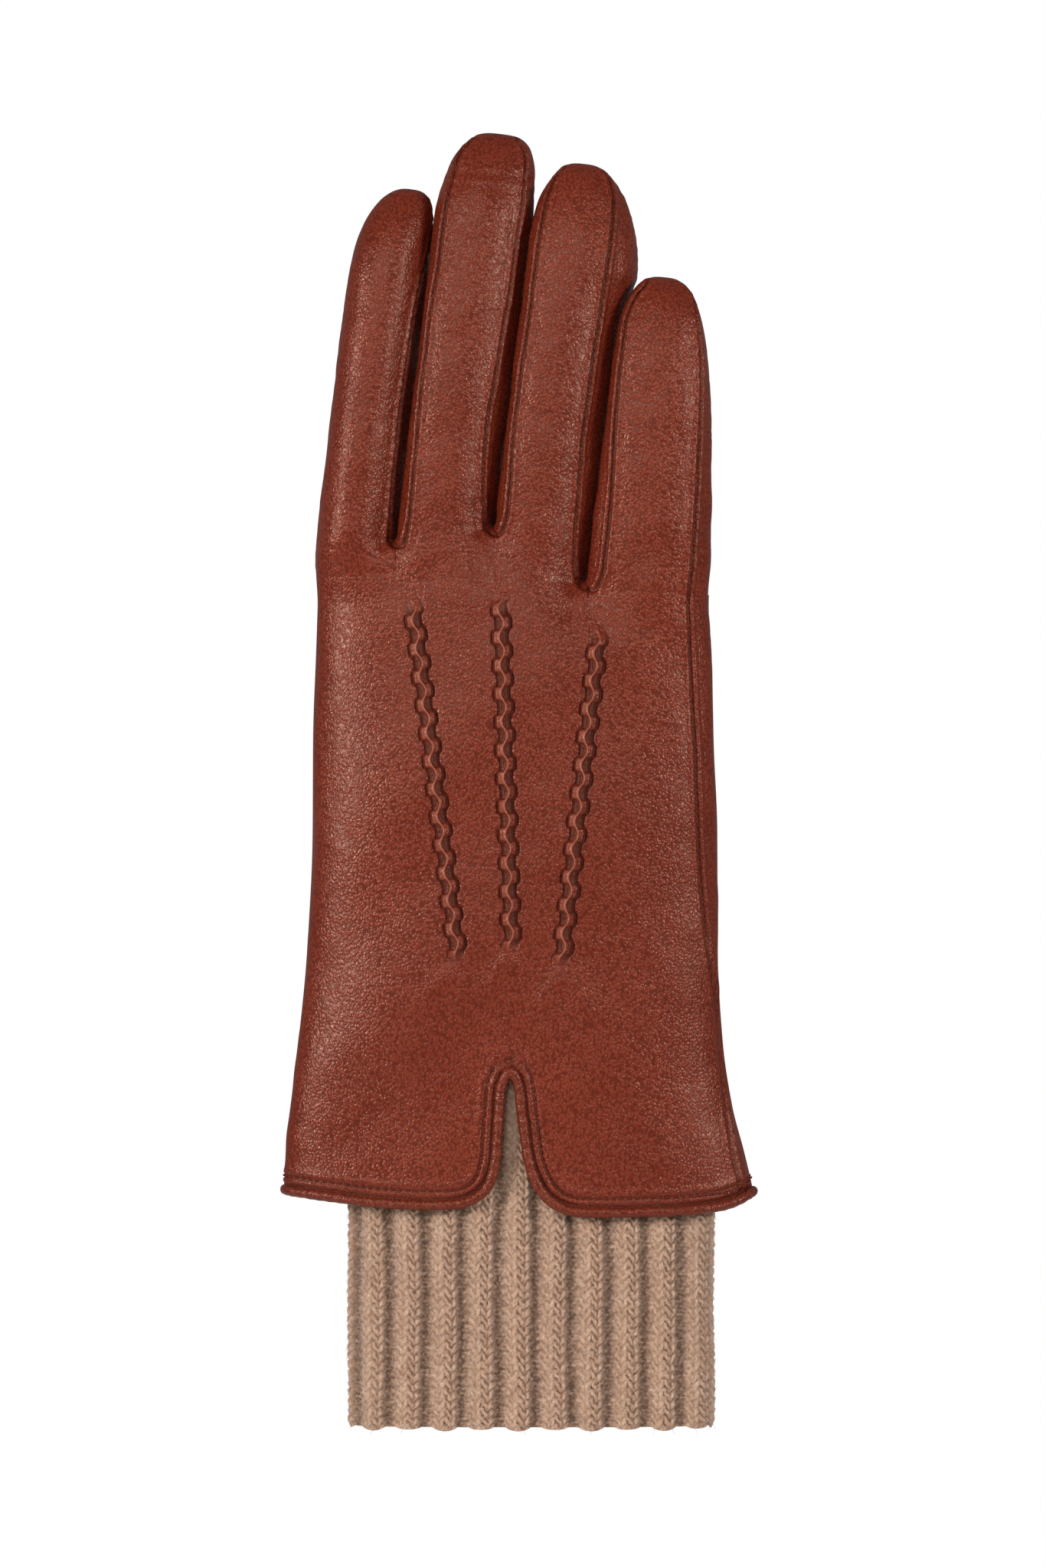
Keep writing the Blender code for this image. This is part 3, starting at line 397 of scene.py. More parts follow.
def crotch_station(finger, angle):
    """Station where the finger's skin leaves the hand's skin, at an angle."""
    low, high = finger["crotch"]
    x, _ = superellipse(angle, FINGER_POWER)
    return low + (high - low) * step_up(x, -0.95, 0.95)


def seam_relief(d, along):
    """Height of the leather beside a sewn seam: d is the distance towards the panel."""
    pucker = np.sin(2 * np.pi * along / 2.2) + 0.5 * np.sin(2 * np.pi * along / 3.7 + 1.0)
    lift = 0.34 * hump(d, 0.95, 0.6) * (1 + 0.25 * pucker)
    lift += 0.26 * hump(d, -1.0, 0.55) * (1 - 0.2 * pucker)
    lift -= 0.8 * hump(d, 0.0, 0.34)
    lift -= 0.25 * step_up(-d, 0.2, 2.0) * (1 - step_up(-d, 3.0, 6.0))
    return lift


def seam_painted_shade(d):
    """How much painted shade lies in the groove of a seam."""
    return 0.66 * hump(d, 0.0, 0.27)


def finger_distance(n, s, angle, side):
    """Signed distance from one seam of finger n on the back: positive on the back panel."""
    finger = FINGERS[n]
    seam = seam_angle(finger, side, s)
    edge = 360.0 if side else 180.0
    trough = TROUGHS[n if side else n - 1] if (n if side else n - 1) in (0, 1, 2) else None
    turn = np.clip(angle, 180.0, 360.0)
    here = finger_surface(finger, np.maximum(s, -12.0), turn)
    stitched = finger_surface(finger, np.maximum(s, -12.0), seam)
    gap = finger_surface(finger, np.maximum(s, -12.0), edge)
    sign = np.where((turn - seam) * (1 if side else -1) < 0, 1.0, -1.0)
    if trough is not None:
        flat = step_up(s, trough[0] + 1.0, trough[0] + trough[1] + 5.0)[..., None] * (0, 1, 0)
        flat = flat + (1.0, 0.0, 1.0)
        here, stitched, gap = here * flat, stitched * flat, gap * flat
    d = np.linalg.norm(here - stitched, axis=-1) * sign
    if trough is None:
        return d, s
    bottom, tall = trough
    start = bottom + tall
    reach = np.linalg.norm(gap - stitched, axis=-1)
    part = (reach + d) / np.maximum(reach, 0.5)
    drop = np.maximum(start - s, 0.0) / tall
    rho = np.sqrt(part ** 2 + drop ** 2) + 1e-6
    scale = (reach * part ** 2 + tall * drop ** 2) / rho ** 2
    return np.where(s >= start, d, (rho - 1) * scale), s + part * 1.5 * (s < start)


def finger_relief(n, s, angle, points):
    """Relief and painted seam shade of a finger's skin and of the hand below it."""
    lift = np.zeros(points.shape[:-1])
    dark = np.zeros(points.shape[:-1])
    turn = np.where(angle < 0.0, angle + 360.0, angle)
    for side in (0, 1):
        seam = FINGERS[n]["seams"][side]
        if seam is None:
            continue
        d, along = finger_distance(n, s, turn, side)
        on = (turn >= 180.0) & (turn <= 360.0)
        part = step_up(s, *HANDOVER_HIGH) if n == 3 and side == 1 else np.ones_like(s)
        lift += np.where(on, seam_relief(d, along), 0.0) * part
        dark = np.maximum(dark, np.where(on, seam_painted_shade(d), 0.0) * part)
    lift += finger_waves(n, points)
    return lift, dark


def finger_waves(n, points):
    """Soft unevenness of finger n's leather."""
    return 0.12 * waves(points, 12.0, 31 + n) + 0.03 * waves(points, 4.0, 41 + n)


def palm_relief(n, s, angle):
    """Relief and painted shade of the seams on the palm side of a finger."""
    lift = np.zeros(np.broadcast(s, angle).shape)
    dark = np.zeros_like(lift)
    for seam in FINGERS[n]["palm_seams"]:
        if seam is None:
            continue
        here = finger_surface(FINGERS[n], s, angle)
        stitched = finger_surface(FINGERS[n], s, seam)
        inner = (angle - seam) * (1 if seam > 90 else -1) > 0
        d = np.linalg.norm(here - stitched, axis=-1) * np.where(inner, -1.0, 1.0)
        fade = step_up(s, -6.0, 2.0) * (angle > 0) * (angle < 180)
        lift += seam_relief(d, s) * fade
        dark = np.maximum(dark, seam_painted_shade(d) * fade)
    return lift, dark


def row_steps(low, high, size):
    """Evenly spread shares with about one size between rows."""
    return np.linspace(0.0, 1.0, max(int((high - low) / (size * COARSE)), 6) + 1)


def crowd(share):
    """Shares of the way to a tip, closer together near it."""
    return 1 - (1 - share) ** TIP_CROWDING


def finger_piece(n, part, leather):
    """Root or tip skin of one finger, bending over its joint."""
    finger = FINGERS[n]
    name, last = finger["name"], finger["tip"][1]
    angles = section_columns(finger, 180.0, 540.0)[:-1]
    cut = (finger["root"][1] + finger["mid"][0]) / 2
    turn = np.where(angles > 360.0, angles - 360.0, angles)
    if part == "root":
        low = crotch_station(finger, angles)
        share = np.concatenate(((-0.03,), row_steps(-4.0, cut, 0.55)))[:, None]
        s = low * (1 - share) + (cut + 0.5) * share
    else:
        share = crowd(row_steps(cut, last, 0.55))[:, None]
        s = cut * (1 - share) + (last - 0.001) * share + 0 * angles
    points = finger_surface(finger, s, angles)
    turn = np.broadcast_to(turn, s.shape)
    lift, dark = finger_relief(n, s, turn, points)
    other, shade = palm_relief(n, s, turn)
    lift, dark = lift + other, np.maximum(dark, shade)
    creases = hump(s, last - 9.5, 1.1) + 0.7 * hump(s, last - 12.5, 0.9)
    lift -= 0.14 * creases * (1 + waves(points, 8.0, 5)) * (n == 1)
    lift -= mid_creases(n, s, points)
    if part == "tip":
        lift *= np.minimum(1.0, (last - s) / 3.0)
    else:
        lift[0] -= 0.3
    normals = grid_normals(points, closed=True)
    if part == "tip":
        normals[-1] = np.array((SIN_LEAN, 0.0, COS_LEAN))
    shaped = points + normals * lift[..., None]
    faces = tube_faces(*s.shape, part == "tip")
    return make_mesh("%s_%s_skin" % (name, part), shaped, faces, leather, crease=dark)


def mid_creases(n, s, points):
    """Depth of the faint creases across a finger near its knuckles."""
    middle = sum(FINGERS[n]["mid"]) / 2
    rng = np.random.default_rng(70 + n)
    depth = np.zeros(points.shape[:-1])
    for _ in range(7):
        at = middle + rng.uniform(-12.0, 12.0)
        bend = rng.uniform(-0.15, 0.15)
        line = s + bend * (points[..., 0]) * 0.5 + 0.6 * waves(points, 12.0, 90 + n)
        depth += rng.uniform(0.03, 0.08) * hump(line, at, rng.uniform(0.35, 0.7))
    return depth


def blend_finger(obj, finger, zone):
    """Bake a finger piece's transform into its mesh; the ends of the joint between the zone's two
    stations are found but not used.
    """
    across = (table_curve(finger["left"], 20.0) + table_curve(finger["right"], 20.0)) / 2
    y = CURL * ((zone[0] + zone[1]) / 2) ** 2
    ends = [Vector(in_frame(across, s, y) * MM) for s in zone]
    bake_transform(obj)


def finger_lining(n, part, knit):
    """Inner knit tube of a finger's root or tip."""
    finger = FINGERS[n]
    cut = (finger["root"][1] + finger["mid"][0]) / 2
    low, high = 2.5 + max(finger["crotch"]), cut + 0.5
    if part == "tip":
        low, high = cut, finger["tip"][1] - LINING_INSET - 0.05
    share = row_steps(low, high, 1.6)[:, None]
    angles = full_turn(48)
    s = low + (high - low) * (share if part == "root" else crowd(share)) + 0 * angles
    outer = finger_surface(finger, s, angles, LINING_INSET)
    outer = outer + 0.12 * waves(outer, 1.6, 11)[..., None] * grid_normals(outer, True)
    return make_mesh("%s_%s_lining" % (finger["name"], part), outer,
                     tube_faces(*s.shape, part == "tip"), knit, crease=np.zeros(s.shape))


# ---------------------------------------------------------------- hand surfaces
def hem_height(x):
    """Height of the middle line of the binding on the lower edge."""
    return table_curve(HEM, x) + ROLL_R


def hand_half_depth(x, z):
    """Half depth of the hand's section at a place across it."""
    left, right = table_curve(HAND, z, 1), table_curve(HAND, z, 2)
    share = np.clip(np.abs(x - (left + right) / 2) / ((right - left) / 2), 0.0, 1.0)
    return table_curve(HAND, z, 3) * np.maximum(1.0 - share ** HAND_POWER, 0.0) \
        ** (1.0 / HAND_POWER)


def vent_x(z, side):
    """Edge of the leather beside the vent, on the middle line of its binding."""
    rows = sorted((height, x) for x, height in (VENT_LEFT if side < 0 else VENT_RIGHT))
    rows.append((VENT_TOP, VENT_X))
    return np.interp(z, [r[0] for r in rows], [r[1] for r in rows])


def hand_columns(back):
    """Finger number, angle and crotch station of each column of the hand's skin."""
    number, angle, station = [], [], []
    for n, finger in enumerate(FINGERS):
        turns = section_columns(finger, 180.0, *((360.0,) if back else (0.0, 1.0, 0.5)))
        for turn in turns[1 if n else 0:]:
            number.append(n)
            angle.append(turn)
            station.append(float(crotch_station(finger, turn)))
    return np.array(number), np.array(angle), np.array(station)


def hand_stations(number, angle, top, across, centre, back):
    """Stations of the hand's rows: fine steps below the fingers, even ones to the hem."""
    share = np.concatenate([np.arange(first, last, size * COARSE)
                            for first, last, size in ROW_BANDS])[:, None]
    place = np.array([finger_surface(FINGERS[n], s, a) for n, s, a in zip(number, top, angle)])
    finger_across = place[:, 0] * COS_LEAN - (place[:, 2] - CROTCH_Z) * SIN_LEAN
    hem_x = np.interp(across, (across[0], across[-1]), HEM_ENDS)
    if back:
        hem_x = column_x(np.full(len(across), HEM_LEVEL), across, centre)
    low = (hem_height(hem_x) - CROTCH_Z + finger_across * SIN_LEAN) / COS_LEAN
    fixed = ROW_BANDS[0][1]
    stretch = (top - low - fixed) / (ROWS_REACH - fixed)
    return top - np.where(share < fixed, share, fixed + (share - fixed) * stretch)


def finger_points(number, angle, s, edge):
    """Points of the fingers' own sections, continued down the hand."""
    points = np.zeros(s.shape + (3,))
    for n, finger in enumerate(FINGERS):
        mine = number == n
        points[:, mine] = finger_surface(finger, s[:, mine], angle[mine])
    for i in edge:
        points[:, i] = (finger_surface(FINGERS[number[i]], s[:, i], angle[i])
                        + finger_surface(FINGERS[number[i] + 1], s[:, i], 180.0)) / 2
    return points


def hand_points(points, number, angle, top, s, across, centre, back):
    """The hand's section at the hem, turning into the fingers' sections at the top."""
    fill = WEB_DEPTH * np.sqrt(1 - (1 - np.clip((top - s) / WEB_REACH, 0, 1)) ** 2)
    from_edge, _ = superellipse(angle, 2.0)
    inner = np.ones(len(number))
    inner[number == 0] = step_up(from_edge[number == 0], -0.3, 0.6)
    inner[number == 3] = step_up(-from_edge[number == 3], -0.3, 0.6)
    y = (np.abs(points[..., 1]) ** WEB_POWER + (fill * inner) ** WEB_POWER) ** (1 / WEB_POWER)
    weight = step_up(s, top - ROOT_FADE, top)
    x_hand = column_x(points[..., 2], across, centre, back)
    y_hand = hand_half_depth(x_hand, points[..., 2])
    points[..., 0] = x_hand * (1 - weight) + points[..., 0] * weight
    points[..., 1] = (-1.0 if back else 1.0) * (y_hand * (1 - weight) + y * weight)
    spaced = 0.02 * np.arange(len(number))
    rising = np.maximum.accumulate(points[..., 0] - spaced, axis=1) + spaced
    points[..., 0] += (rising - points[..., 0]) * step_up(top - s, 0.3, 2.0)
    return points


def palm_side_relief(points, number, angle, top, s):
    """Relief of the palm: soft unevenness, the fingers' seams and the hem, with painted shade in
    their grooves.
    """
    lift = 0.22 * waves(points, 14.0, 8) + 0.05 * waves(points, 4.0, 9)
    lift *= step_up(top - s, 0.0, 6.0)
    dark = np.zeros(s.shape)
    for n in range(4):
        mine = number == n
        extra, dark[:, mine] = palm_relief(n, s[:, mine], angle[:, mine])
        near = 1 - step_up(top[mine] - s[:, mine], 0.0, 6.0)
        lift[:, mine] += extra + finger_waves(n, points[:, mine]) * near
    from_hem = points[..., 2] - hem_height(points[..., 0])
    return lift + hem_relief(from_hem), np.maximum(dark, hem_painted_shade(from_hem))


def hand_skin(back, leather):
    """The back or the palm of the hand, up to where its four fingers start."""
    number, angle, top = hand_columns(back)
    side = -1.0 if back else 1.0
    edge = np.nonzero(np.diff(number))[0]
    centre = edge[1]
    across = even_across(number, angle)
    s = hand_stations(number, angle, top, across, centre, back)
    points = finger_points(number, angle, s, edge)
    turn = np.broadcast_to(angle, s.shape)
    lift, dark = np.zeros(s.shape), np.zeros(s.shape)
    for n in range(4 if back else 0):
        mine = number == n
        lift[:, mine], dark[:, mine] = finger_relief(n, s[:, mine], turn[:, mine],
                                                     points[:, mine])
    points = hand_points(points, number, angle, top, s, across, centre, back)
    if back:
        keep = step_up(s, top - ROOT_FADE + 3, top - 7)
        lift, dark = back_relief(points, s, lift * keep, dark * keep, top - s)
    else:
        lift, dark = palm_side_relief(points, number, turn, top, s)
    for outer in (0, -1):
        far = step_up(np.linalg.norm(points - points[:, [outer]], axis=-1), 0.1, 1.6)
        lift, dark = lift * far, dark * far
    normals = grid_normals(points)
    normals *= np.sign(np.sum(normals[..., 1] * side))
    joined = (1 - step_up(top - s, 0.0, 1.6))[..., None]
    normals = normals * (1 - joined) + top_normals(number, angle, top, side) * joined
    normals[:, edge] = (0.0, side, 0.0)
    shaped = points + unit(normals) * lift[..., None]
    faces = grid_faces(*s.shape, flip=back)
    if back:
        shaped, faces = open_vent(shaped, faces, centre)
    else:
        shaped = shaped.reshape(-1, 3)
    dark = np.concatenate((dark.ravel(), np.zeros(len(shaped) - dark.size)))
    name = "hand_back_skin" if back else "hand_palm_skin"
    return make_mesh(name, shaped, faces, leather, crease=dark)


def even_across(number, angle):
    """Rising places across the hand for its columns, closer together at the fingers' sides."""
    out = np.zeros(len(number))
    for n, finger in enumerate(FINGERS):
        mine = number == n
        low = float(table_curve(finger["left"], 0.0))
        high = float(table_curve(finger["right"], 0.0))
        if n:
            low = (low + float(table_curve(FINGERS[n - 1]["right"], 0.0))) / 2
        if n < 3:
            high = (high + float(table_curve(FINGERS[n + 1]["left"], 0.0))) / 2
        x, _ = superellipse(angle[mine], FINGER_POWER)
        turn = np.abs(angle[mine] - 180.0) / 180.0
        out[mine] = low + (high - low) * (0.55 * (1 + x) / 2 + 0.45 * turn)
    return out


def top_normals(number, angle, top, side):
    """Outward normals of the fingers' skins where the columns of the hand reach them."""
    out = np.zeros((len(number), 3))
    for n, finger in enumerate(FINGERS):
        mine = number == n
        s, turn = top[mine], angle[mine]
        up = finger_surface(finger, s + 0.3, turn) - finger_surface(finger, s - 0.3, turn)
        along = finger_surface(finger, s, turn + 0.4) - finger_surface(finger, s, turn - 0.4)
        out[mine] = np.cross(along, up)
    out = unit(out)
    return out * np.sign(np.sum(out[:, 1] * side))


def column_x(z, across, centre, back=True):
    """Place of each column across the hand at heights z, before the fingers begin."""
    left, right = table_curve(HAND, z, 1), table_curve(HAND, z, 2)
    if not back:
        share = (across - across[0]) / (across[-1] - across[0])
        return left + (right - left) * share
    crotch_x, crotch_z = MIDDLE_CROTCH
    middle = VENT_X + (crotch_x - VENT_X) * np.clip((z - VENT_TOP) / (crotch_z - VENT_TOP), 0, 1)
    share = (across - across[0]) / (across[centre] - across[0])
    low = left + (np.where(z < VENT_TOP, vent_x(z, -1), middle) - left) * share
    share = (across - across[centre]) / (across[-1] - across[centre])
    start = np.where(z < VENT_TOP, vent_x(z, 1), middle)
    high = start + (right - start) * share
    return np.where(np.arange(len(across)) <= centre, low, high)


def open_vent(points, faces, centre):
    """Give the right half its own middle column below the vent's top."""
    cols = points.shape[1]
    flat = points.reshape(-1, 3)
    rows = np.nonzero(points[:, centre, 2] < VENT_TOP)[0]
    place = {}
    extra = []
    for i in rows:
        point = points[i, centre].copy()
        point[0] = vent_x(point[2], 1)
        point[1] = -hand_half_depth(point[0], point[2])
        place[i * cols + centre] = len(flat) + len(extra)
        extra.append(point)
    out = []
    for face in faces:
        right = max(face % cols) == centre + 1
        low = min(face // cols) >= rows[0] - 1
        out.append([place.get(int(v), int(v)) if right and low else int(v) for v in face])
    return np.concatenate((flat, np.array(extra))), out


def hem_relief(d):
    """Leather beside the rolled binding: groove, narrow strip and sunk stitch line."""
    lift = -0.55 * hump(d, 1.25, 0.4) + 0.25 * hump(d, 2.25, 0.55)
    lift -= 0.42 * hump(d, STITCH_INSET, 0.38)
    lift += 0.18 * hump(d, STITCH_INSET + 1.0, 0.7)
    return lift


def hem_painted_shade(d):
    """Painted shade in the groove beside the rolled binding and in its sunk stitch line."""
    return 0.85 * hump(d, 1.2, 0.4) + 0.5 * hump(d, STITCH_INSET, 0.32)


def back_relief(points, s, lift, dark, below):
    """Relief of the back of the hand: seams, hem, soft folds and fine creases, with painted shade
    in the grooves of the outside seam and the hem.
    """
    x, z = points[..., 0], points[..., 2]
    soft = step_up(below, 0.0, 12.0)
    lift += soft * (0.34 * waves(points, 26.0, 3) + 0.06 * waves(points, 8.0, 4))
    for start_x, start_z, end_x, end_z in FOLDS:
        run, fall = end_x - start_x, end_z - start_z
        along = ((x - start_x) * run + (z - start_z) * fall) / (run * run + fall * fall)
        aside = ((x - start_x) * fall - (z - start_z) * run) / np.hypot(run, fall)
        fold = 0.42 * hump(aside / (1.1 + 2.3 * np.clip(along, 0, 1)), 0.0, 1.0)
        lift += fold * step_up(along, -0.1, 0.25) * (1 - step_up(along, 0.5, 1.35))
    d = x - table_curve(SEAM, z)
    part = 1 - step_up(s, *HANDOVER_LOW)
    seam = -0.7 * hump(d, 0.0, 0.30) + 0.36 * hump(d, 0.80, 0.42)
    seam += 0.16 * hump(d, -0.95, 0.5) * (1 + 0.4 * np.sin(2 * np.pi * z / 2.3))
    lift += seam * part
    # painted shade in the groove of the outside seam
    dark = np.maximum(dark, 0.62 * hump(d, 0.0, 0.27) * part)
    for level, tilt, depth in BACK_CREASES:
        line = z + tilt * x + 1.3 * waves(points, 26.0, int(level))
        lift -= depth * hump(line, level, 0.55) * (0.6 + 0.4 * waves(points, 30.0, 7))
    from_hem = hem_distance(x, z)
    lift += hem_relief(from_hem)
    dark = np.maximum(dark, hem_painted_shade(from_hem))
    return lift, dark


def hem_distance(x, z):
    """Distance of points on the back from the middle line of the binding."""
    path = np.array([(p[0], p[2]) for p in binding_path(2.0) if p[1] < 0])
    flat = np.stack((x.ravel(), z.ravel()), -1)
    out = np.full(len(flat), 50.0)
    near = flat[:, 1] < 88.0
    some = flat[near]
    best = np.full(len(some), 1e9)
    for a, b in zip(path[:-1], path[1:]):
        if np.linalg.norm(b - a) > 6.0:
            continue
        way = b - a
        t = np.clip(((some - a) @ way) / (way @ way), 0, 1)
        best = np.minimum(best, np.linalg.norm(some - a - t[:, None] * way, axis=1))
    out[near] = best
    return out.reshape(x.shape)


# ---------------------------------------------------------------- binding and stitches
def smooth_loop(points, size):
    """Evenly spread points of a closed smooth curve through a list of points."""
    points = np.asarray(points, float)
    out = []
    count = len(points)
    for i in range(count):
        p0, p1, p2, p3 = (points[(i + k - 1) % count] for k in range(4))
        for t in np.linspace(0, 1, 12)[:-1]:
            out.append(0.5 * ((2 * p1) + (p2 - p0) * t + (2 * p0 - 5 * p1 + 4 * p2 - p3) * t * t
                              + (3 * p1 - p0 - 3 * p2 + p3) * t ** 3))
    out.append(out[0])
    out = np.array(out)
    length = np.concatenate(([0], np.cumsum(np.linalg.norm(np.diff(out, axis=0), axis=1))))
    want = np.linspace(0, length[-1], int(length[-1] / size) + 1)[:-1]
    return np.stack([np.interp(want, length, out[:, k]) for k in range(3)], -1)


def on_back(x, z):
    """Point of the back's smooth surface at a place."""
    return x, -float(hand_half_depth(x, z)), z


def binding_path(size):
    """Middle line of the rolled binding round the hem and the vent."""
    path = [on_back(x, z) for x, z in VENT_LEFT]
    path += [on_back(x, float(hem_height(x))) for x in (-27.0, -35.0, -43.0)]
    left, right, deep = (float(table_curve(HAND, CORNER_LEVEL, k)) for k in (1, 2, 3))
    for angle in (206, 193, 180, 167, 152, 135, 116, 98, 82, 64, 45, 28, 13, 0, -13, -26):
        x, y = superellipse(angle, HAND_POWER)
        x = (left + right) / 2 + (right - left) / 2 * x
        path.append((x, deep * y, float(hem_height(x))))
    path += [on_back(x, float(hem_height(x))) for x in (39.0, 31.0, 23.0, 16.0)]
    path += [on_back(x, z) for x, z in reversed(VENT_RIGHT)]
    path.append(on_back(VENT_X, VENT_TOP))
    return smooth_loop(path, size)


def outward(points):
    """Directions away from the hand at points of its section, level."""
    out = np.stack((points[:, 0] * 0.10, points[:, 1], 0 * points[:, 0]), -1)
    side = np.abs(points[:, 1]) < 8.0
    out[side, 0] = points[side, 0] * 0.35
    return unit(out)


def directions(path):
    """Directions along a closed path."""
    return unit(np.roll(path, -1, 0) - np.roll(path, 1, 0))


def binding_roll(mat):
    """The rolled leather binding, slightly puckered by its stitches, with painted shade in the
    pinches on its sides.
    """
    pitch = 0.35 * COARSE
    path = binding_path(pitch)
    out = outward(path)
    path = path - out * 0.3
    along = directions(path)
    out = unit(out - along * np.sum(out * along, 1)[:, None])
    side = np.cross(along, out)
    turn = np.radians(full_turn(14))
    run = np.arange(len(path)) * pitch
    radius = ROLL_R * (1 + 0.05 * np.sin(2 * np.pi * run / ROLL_PITCH)[:, None]
                       * (0.6 + 0.4 * np.cos(turn)) + 0.03 * waves(path, 5.0, 77)[:, None])
    ring = out[:, None] * np.cos(turn)[:, None] + side[:, None] * np.sin(turn)[:, None]
    points = path[:, None] + ring * radius[..., None]
    faces = grid_faces(len(path), 14, closed=True)
    last = (len(path) - 1) * 14
    wrap = [(last + j, last + (j + 1) % 14, (j + 1) % 14, j) for j in range(14)]
    # painted shade on the roll's sides where each stitch pinches it
    dark = 0.35 * np.maximum(0, np.sin(2 * np.pi * run / ROLL_PITCH + 3.1))[:, None] ** 4 \
        * np.abs(np.sin(turn)) ** 2
    return make_mesh("binding_roll", points, list(faces) + wrap, mat, crease=dark)


def stitch_row(surface, thread):
    """The row of small thread stitches beside the binding, on the back and the palm."""
    path = binding_path(STITCH_PITCH)
    out = outward(path)
    along = directions(path)
    towards = unit(np.cross(along, out)) * STITCH_INSET
    verts, faces = [], []
    turn = np.radians(full_turn(8))
    for i in range(len(path)):
        spot, back = path[i] + towards[i], path[i] - towards[i]
        if abs(path[i][0] - VENT_X) < 14 and path[i][1] < 0:
            away = abs(spot[0] - VENT_X) + 0.6 * spot[2]
            if abs(back[0] - VENT_X) + 0.6 * back[2] > away:
                spot = back
        elif spot[2] < path[i][2]:
            spot = back
        near = surface.find_nearest(Vector(spot * MM))
        if near[0] is None or near[3] > 0.003:
            continue
        at, normal = np.array(near[0]) / MM, np.array(near[1])
        if normal @ out[i] < 0:
            normal = -normal
        way = unit(along[i] - normal * (along[i] @ normal))
        across = np.cross(way, normal)
        base = len(verts)
        for t in np.linspace(-1, 1, 7):
            radius = 0.27 * math.sqrt(max(1 - t ** 4, 0.02))
            middle = at + way * (0.62 * t) + normal * (0.16 - 0.24 * t * t)
            for a in turn:
                verts.append(middle + (across * np.cos(a) + normal * np.sin(a)) * radius)
        faces += [tuple(base + v for v in quad) for quad in grid_faces(7, 8, closed=True)]
        faces.append(tuple(base + j for j in reversed(range(8))))
        faces.append(tuple(base + 48 + j for j in range(8)))
    return make_mesh("hem_stitches", verts, faces, thread, crease=np.zeros(len(verts)))


# ---------------------------------------------------------------- decorative points
def point_height(run, v, length):
    """Relief and painted light of a stitched point: run along it, v across it. Its grooves and the
    hollows between its tabs get painted shade; its ridge and its left tabs, which face the light,
    get a painted highlight as negative values.
    """
    phase = 2 * np.pi * run / POINT_PERIOD
    taper = step_up(run, 0.0, 3.5) * (1 - step_up(run, length - 6.0, length))
    ridge = -0.56 * np.sin(phase)
    left = -1.38 - 0.42 * np.tanh(2.8 * np.sin(phase + 0.15))
    right = 1.42 - 0.42 * np.tanh(2.2 * np.sin(phase - 0.15))
    swing = np.sin(phase)
    cord = hump(v, ridge, 0.46)
    on_left = step_up(v, left - 0.18, left + 0.25) * (1 - step_up(v, ridge - 0.3, ridge + 0.1))
    on_right = step_up(v, ridge - 0.1, ridge + 0.3) * (1 - step_up(v, right - 0.25, right + 0.2))
    tab_left, tab_right = step_up(swing, -0.15, 0.35), step_up(-swing, -0.15, 0.35)
    groove = hump(v, left - 0.16, 0.24) + 1.2 * hump(v, right + 0.22, 0.34)
    terrace = (0.3 + 0.55 * tab_left) * on_left + (0.3 + 0.5 * tab_right) * on_right
    lift = np.maximum(1.25 * cord, terrace) - 0.45 * groove
    between = (1 - tab_left) * on_left + (1.1 - tab_right) * on_right
    # painted shade in the grooves and between the tabs, where the ridge shades them
    dark = 0.62 * groove + 0.55 * between * (1 - cord)
    # painted highlight along the ridge and on the lit left tabs
    crest = 0.8 * hump(v, ridge - 0.06, 0.27) + 0.3 * tab_left * on_left
    return lift * taper, np.clip(dark - crest, -1, 1) * taper


def point_place(x, z, top, bottom):
    """How far along and across a point's line some places are, and its length."""
    top, bottom = np.array(top), np.array(bottom)
    length = float(np.linalg.norm(top - bottom))
    way = (top - bottom) / length
    away = np.stack((x - bottom[0], z - bottom[1]), -1)
    return away @ way, away @ np.array((way[1], -way[0])), length


def sink_points(skin):
    """Lower the hand's skin a little where the points lie over it."""
    flat = np.zeros(len(skin.data.vertices) * 3)
    skin.data.vertices.foreach_get("co", flat)
    points = flat.reshape(-1, 3)
    for _, top, bottom in POINTS:
        u, v, length = point_place(points[:, 0] / MM, points[:, 2] / MM, top, bottom)
        inside = (1 - step_up(np.abs(v), 2.0, 2.9)) * step_up(u, 0.6, 2.6)
        inside = inside * (1 - step_up(u, length - 2.6, length - 0.6))
        points[:, 1] += 0.75 * MM * inside
    skin.data.vertices.foreach_set("co", points.ravel())
    skin.data.update()


def point_strip(name, top, bottom, surface, leather):
    """One decorative point: a gathered, stitched pleat standing on the back."""
    top, bottom = np.array(top), np.array(bottom)
    length = float(np.linalg.norm(top - bottom))
    run = np.linspace(0, length, int(length / (0.25 * COARSE)) + 1)
    first, last = POINT_EDGES
    across = np.linspace(first, last, int(48 / COARSE))
    way = (top - bottom) / length
    side = np.array((way[1], -way[0]))
    u, v = np.meshgrid(run, across, indexing="ij")
    flat = bottom + u[..., None] * way + v[..., None] * side
    points = np.zeros(u.shape + (3,))
    for i in range(u.shape[0]):
        for j in range(u.shape[1]):
            x, z = flat[i, j]
            hit = surface.ray_cast(Vector((x * MM, -0.1, z * MM)), Vector((0, 1, 0)))
            points[i, j] = (x, hit[0].y / MM, z)
    lift, shade = point_height(u, v, length)
    edge = np.minimum(step_up(v, first, first + 0.9), 1 - step_up(v, last - 0.9, last))
    ends = np.minimum(step_up(u, 0.0, 1.0), 1 - step_up(u, length - 1.0, length))
    points[..., 1] -= (lift + 0.14) * edge * ends - 0.12
    return make_mesh(name, points, grid_faces(*u.shape, flip=True), leather,
                     crease=shade * edge)


# ---------------------------------------------------------------- thumb
def thumb_axes():
    """Directions along, across and out of the thumb."""
    along = unit(THUMB_TO - THUMB_FROM)
    across = unit(np.array((1.0, 0.0, 0.0)) - along * along[0])
    return along, across, np.cross(along, across)


